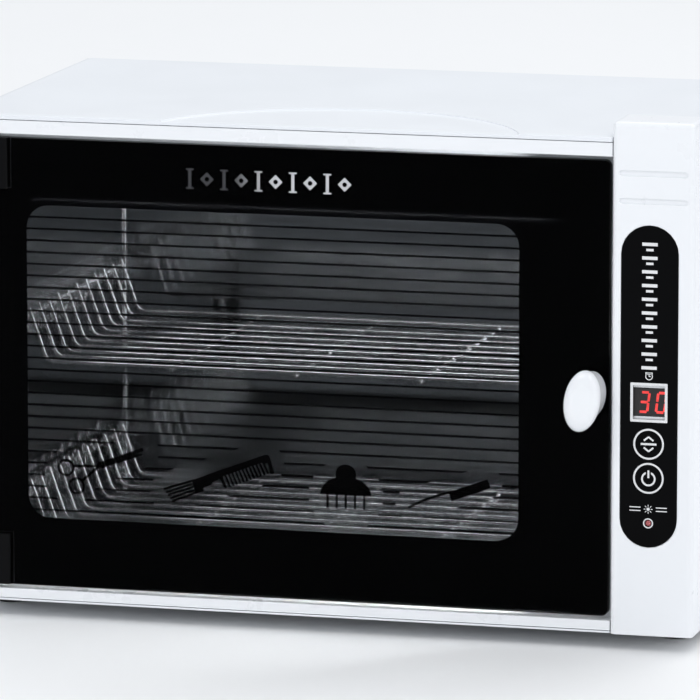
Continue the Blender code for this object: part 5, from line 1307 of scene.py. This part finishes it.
MIDDLE = (0.0, 0.0, 0.12)
SOFTBOXES = (       # name, what it looks at, azimuth, elevation, distance, size, power
    ("key", MIDDLE, 40.0, 40.0, 1.6, (0.36, 0.36), 2.5),
    ("left_bank", MIDDLE, -28.0, 42.0, 1.5, (0.5, 0.4), 2.4),
    ("right_bank", MIDDLE, 55.0, 13.0, 1.5, (0.4, 0.6), 1.0),
    ("top_bank", MIDDLE, 150.0, 62.0, 1.7, (1.2, 0.8), 5.5),
    ("backdrop_bank", MIDDLE, 180.0, 45.0, 3.4, (4.0, 3.0), 23.0),
    ("chamber_top", (DOOR_X, 0.0, 0.11), 0.0, 48.0, 0.125, (0.25, 0.014), 0.22),
    ("chamber_side", (DOOR_X, 0.0, 0.126), 58.0, 0.0, 0.142, (0.026, 0.165), 1.5),
)


class CABINET_OT_stage(bpy.types.Operator):
    """Set the pale floor, the soft studio light and the camera"""

    bl_idname = "cabinet.stage"
    bl_label = "Stage"

    def execute(self, context):
        scene = context.scene
        put_down()
        bpy.ops.mesh.primitive_plane_add(size=14.0, location=(0.0, 0.0, -0.2 * MM))
        floor = set_in_place("floor")
        floor.data.materials.append(finish_named("floor"))

        diffuse_level, glossy_level, camera_boost = 0.85, 0.42, 0.3
        scene.world = scene.world or bpy.data.worlds.new("studio")
        scene.world.use_nodes = True
        tree = scene.world.node_tree
        seen = add_node(tree, "ShaderNodeLightPath").outputs
        level = spread(tree, seen["Is Glossy Ray"], 0.0, 1.0, diffuse_level, glossy_level)
        feed(tree, tree.nodes["Background"], {
            "Color": (0.93, 0.96, 1.0, 1.0),
            "Strength": calculate(tree, "MULTIPLY_ADD", seen["Is Camera Ray"], camera_boost, level)})

        for name, target, azimuth, elevation, distance, size, power in SOFTBOXES:
            light = bpy.data.lights.new(name, "AREA")
            light.shape = "RECTANGLE"
            light.size, light.size_y = size
            light.energy = power
            aim_at(name, light, target, azimuth, elevation, distance).visible_camera = False

        lens = bpy.data.cameras.new("camera")
        lens.lens = 374.9
        lens.sensor_width = 36.0
        lens.clip_start, lens.clip_end = 0.05, 60.0
        scene.camera = aim_at("camera", lens, (15.1 * MM, DOOR_FRONT, 134.8 * MM), 15.0, 9.8, 3.369)
        scene.view_settings.view_transform = "Standard"
        return {"FINISHED"}


class CABINET_PT_sidebar(bpy.types.Panel):
    """Lists the steps that finish the cabinet, in order"""

    bl_idname = "CABINET_PT_sidebar"
    bl_label = "Sterilizer Cabinet"
    bl_space_type = "VIEW_3D"
    bl_region_type = "UI"
    bl_category = "Cabinet"

    def draw(self, context):
        for settings in (context.scene.cabinet_finishes, context.scene.cabinet_details):
            box = self.layout.box()
            for name in settings.__annotations__:
                box.prop(settings, name)
        for step in STEPS:
            self.layout.operator(step.bl_idname)


STEPS = (
    CABINET_OT_stage, CABINET_OT_shell, CABINET_OT_base, CABINET_OT_feet, CABINET_OT_inlet,
    CABINET_OT_front, CABINET_OT_panel, CABINET_OT_display, CABINET_OT_keys, CABINET_OT_glass,
    CABINET_OT_print, CABINET_OT_title, CABINET_OT_hinges, CABINET_OT_knob, CABINET_OT_catch,
    CABINET_OT_chamber, CABINET_OT_trays, CABINET_OT_lamp, CABINET_OT_electrics,
)
CLASSES = (CabinetFinishes, CabinetDetails, CABINET_PT_sidebar) + STEPS


def register():
    """Add the settings, the steps and the sidebar panel."""
    for kind in CLASSES:
        bpy.utils.register_class(kind)
    bpy.types.Scene.cabinet_finishes = bpy.props.PointerProperty(type=CabinetFinishes)
    bpy.types.Scene.cabinet_details = bpy.props.PointerProperty(type=CabinetDetails)


def unregister():
    """Take away what register added."""
    del bpy.types.Scene.cabinet_details
    del bpy.types.Scene.cabinet_finishes
    for kind in reversed(CLASSES):
        bpy.utils.unregister_class(kind)


def main():
    """Run every step in order."""
    register()
    for step in STEPS:
        family, name = step.bl_idname.split(".")
        getattr(getattr(bpy.ops, family), name)()


if __name__ == "__main__":
    main()
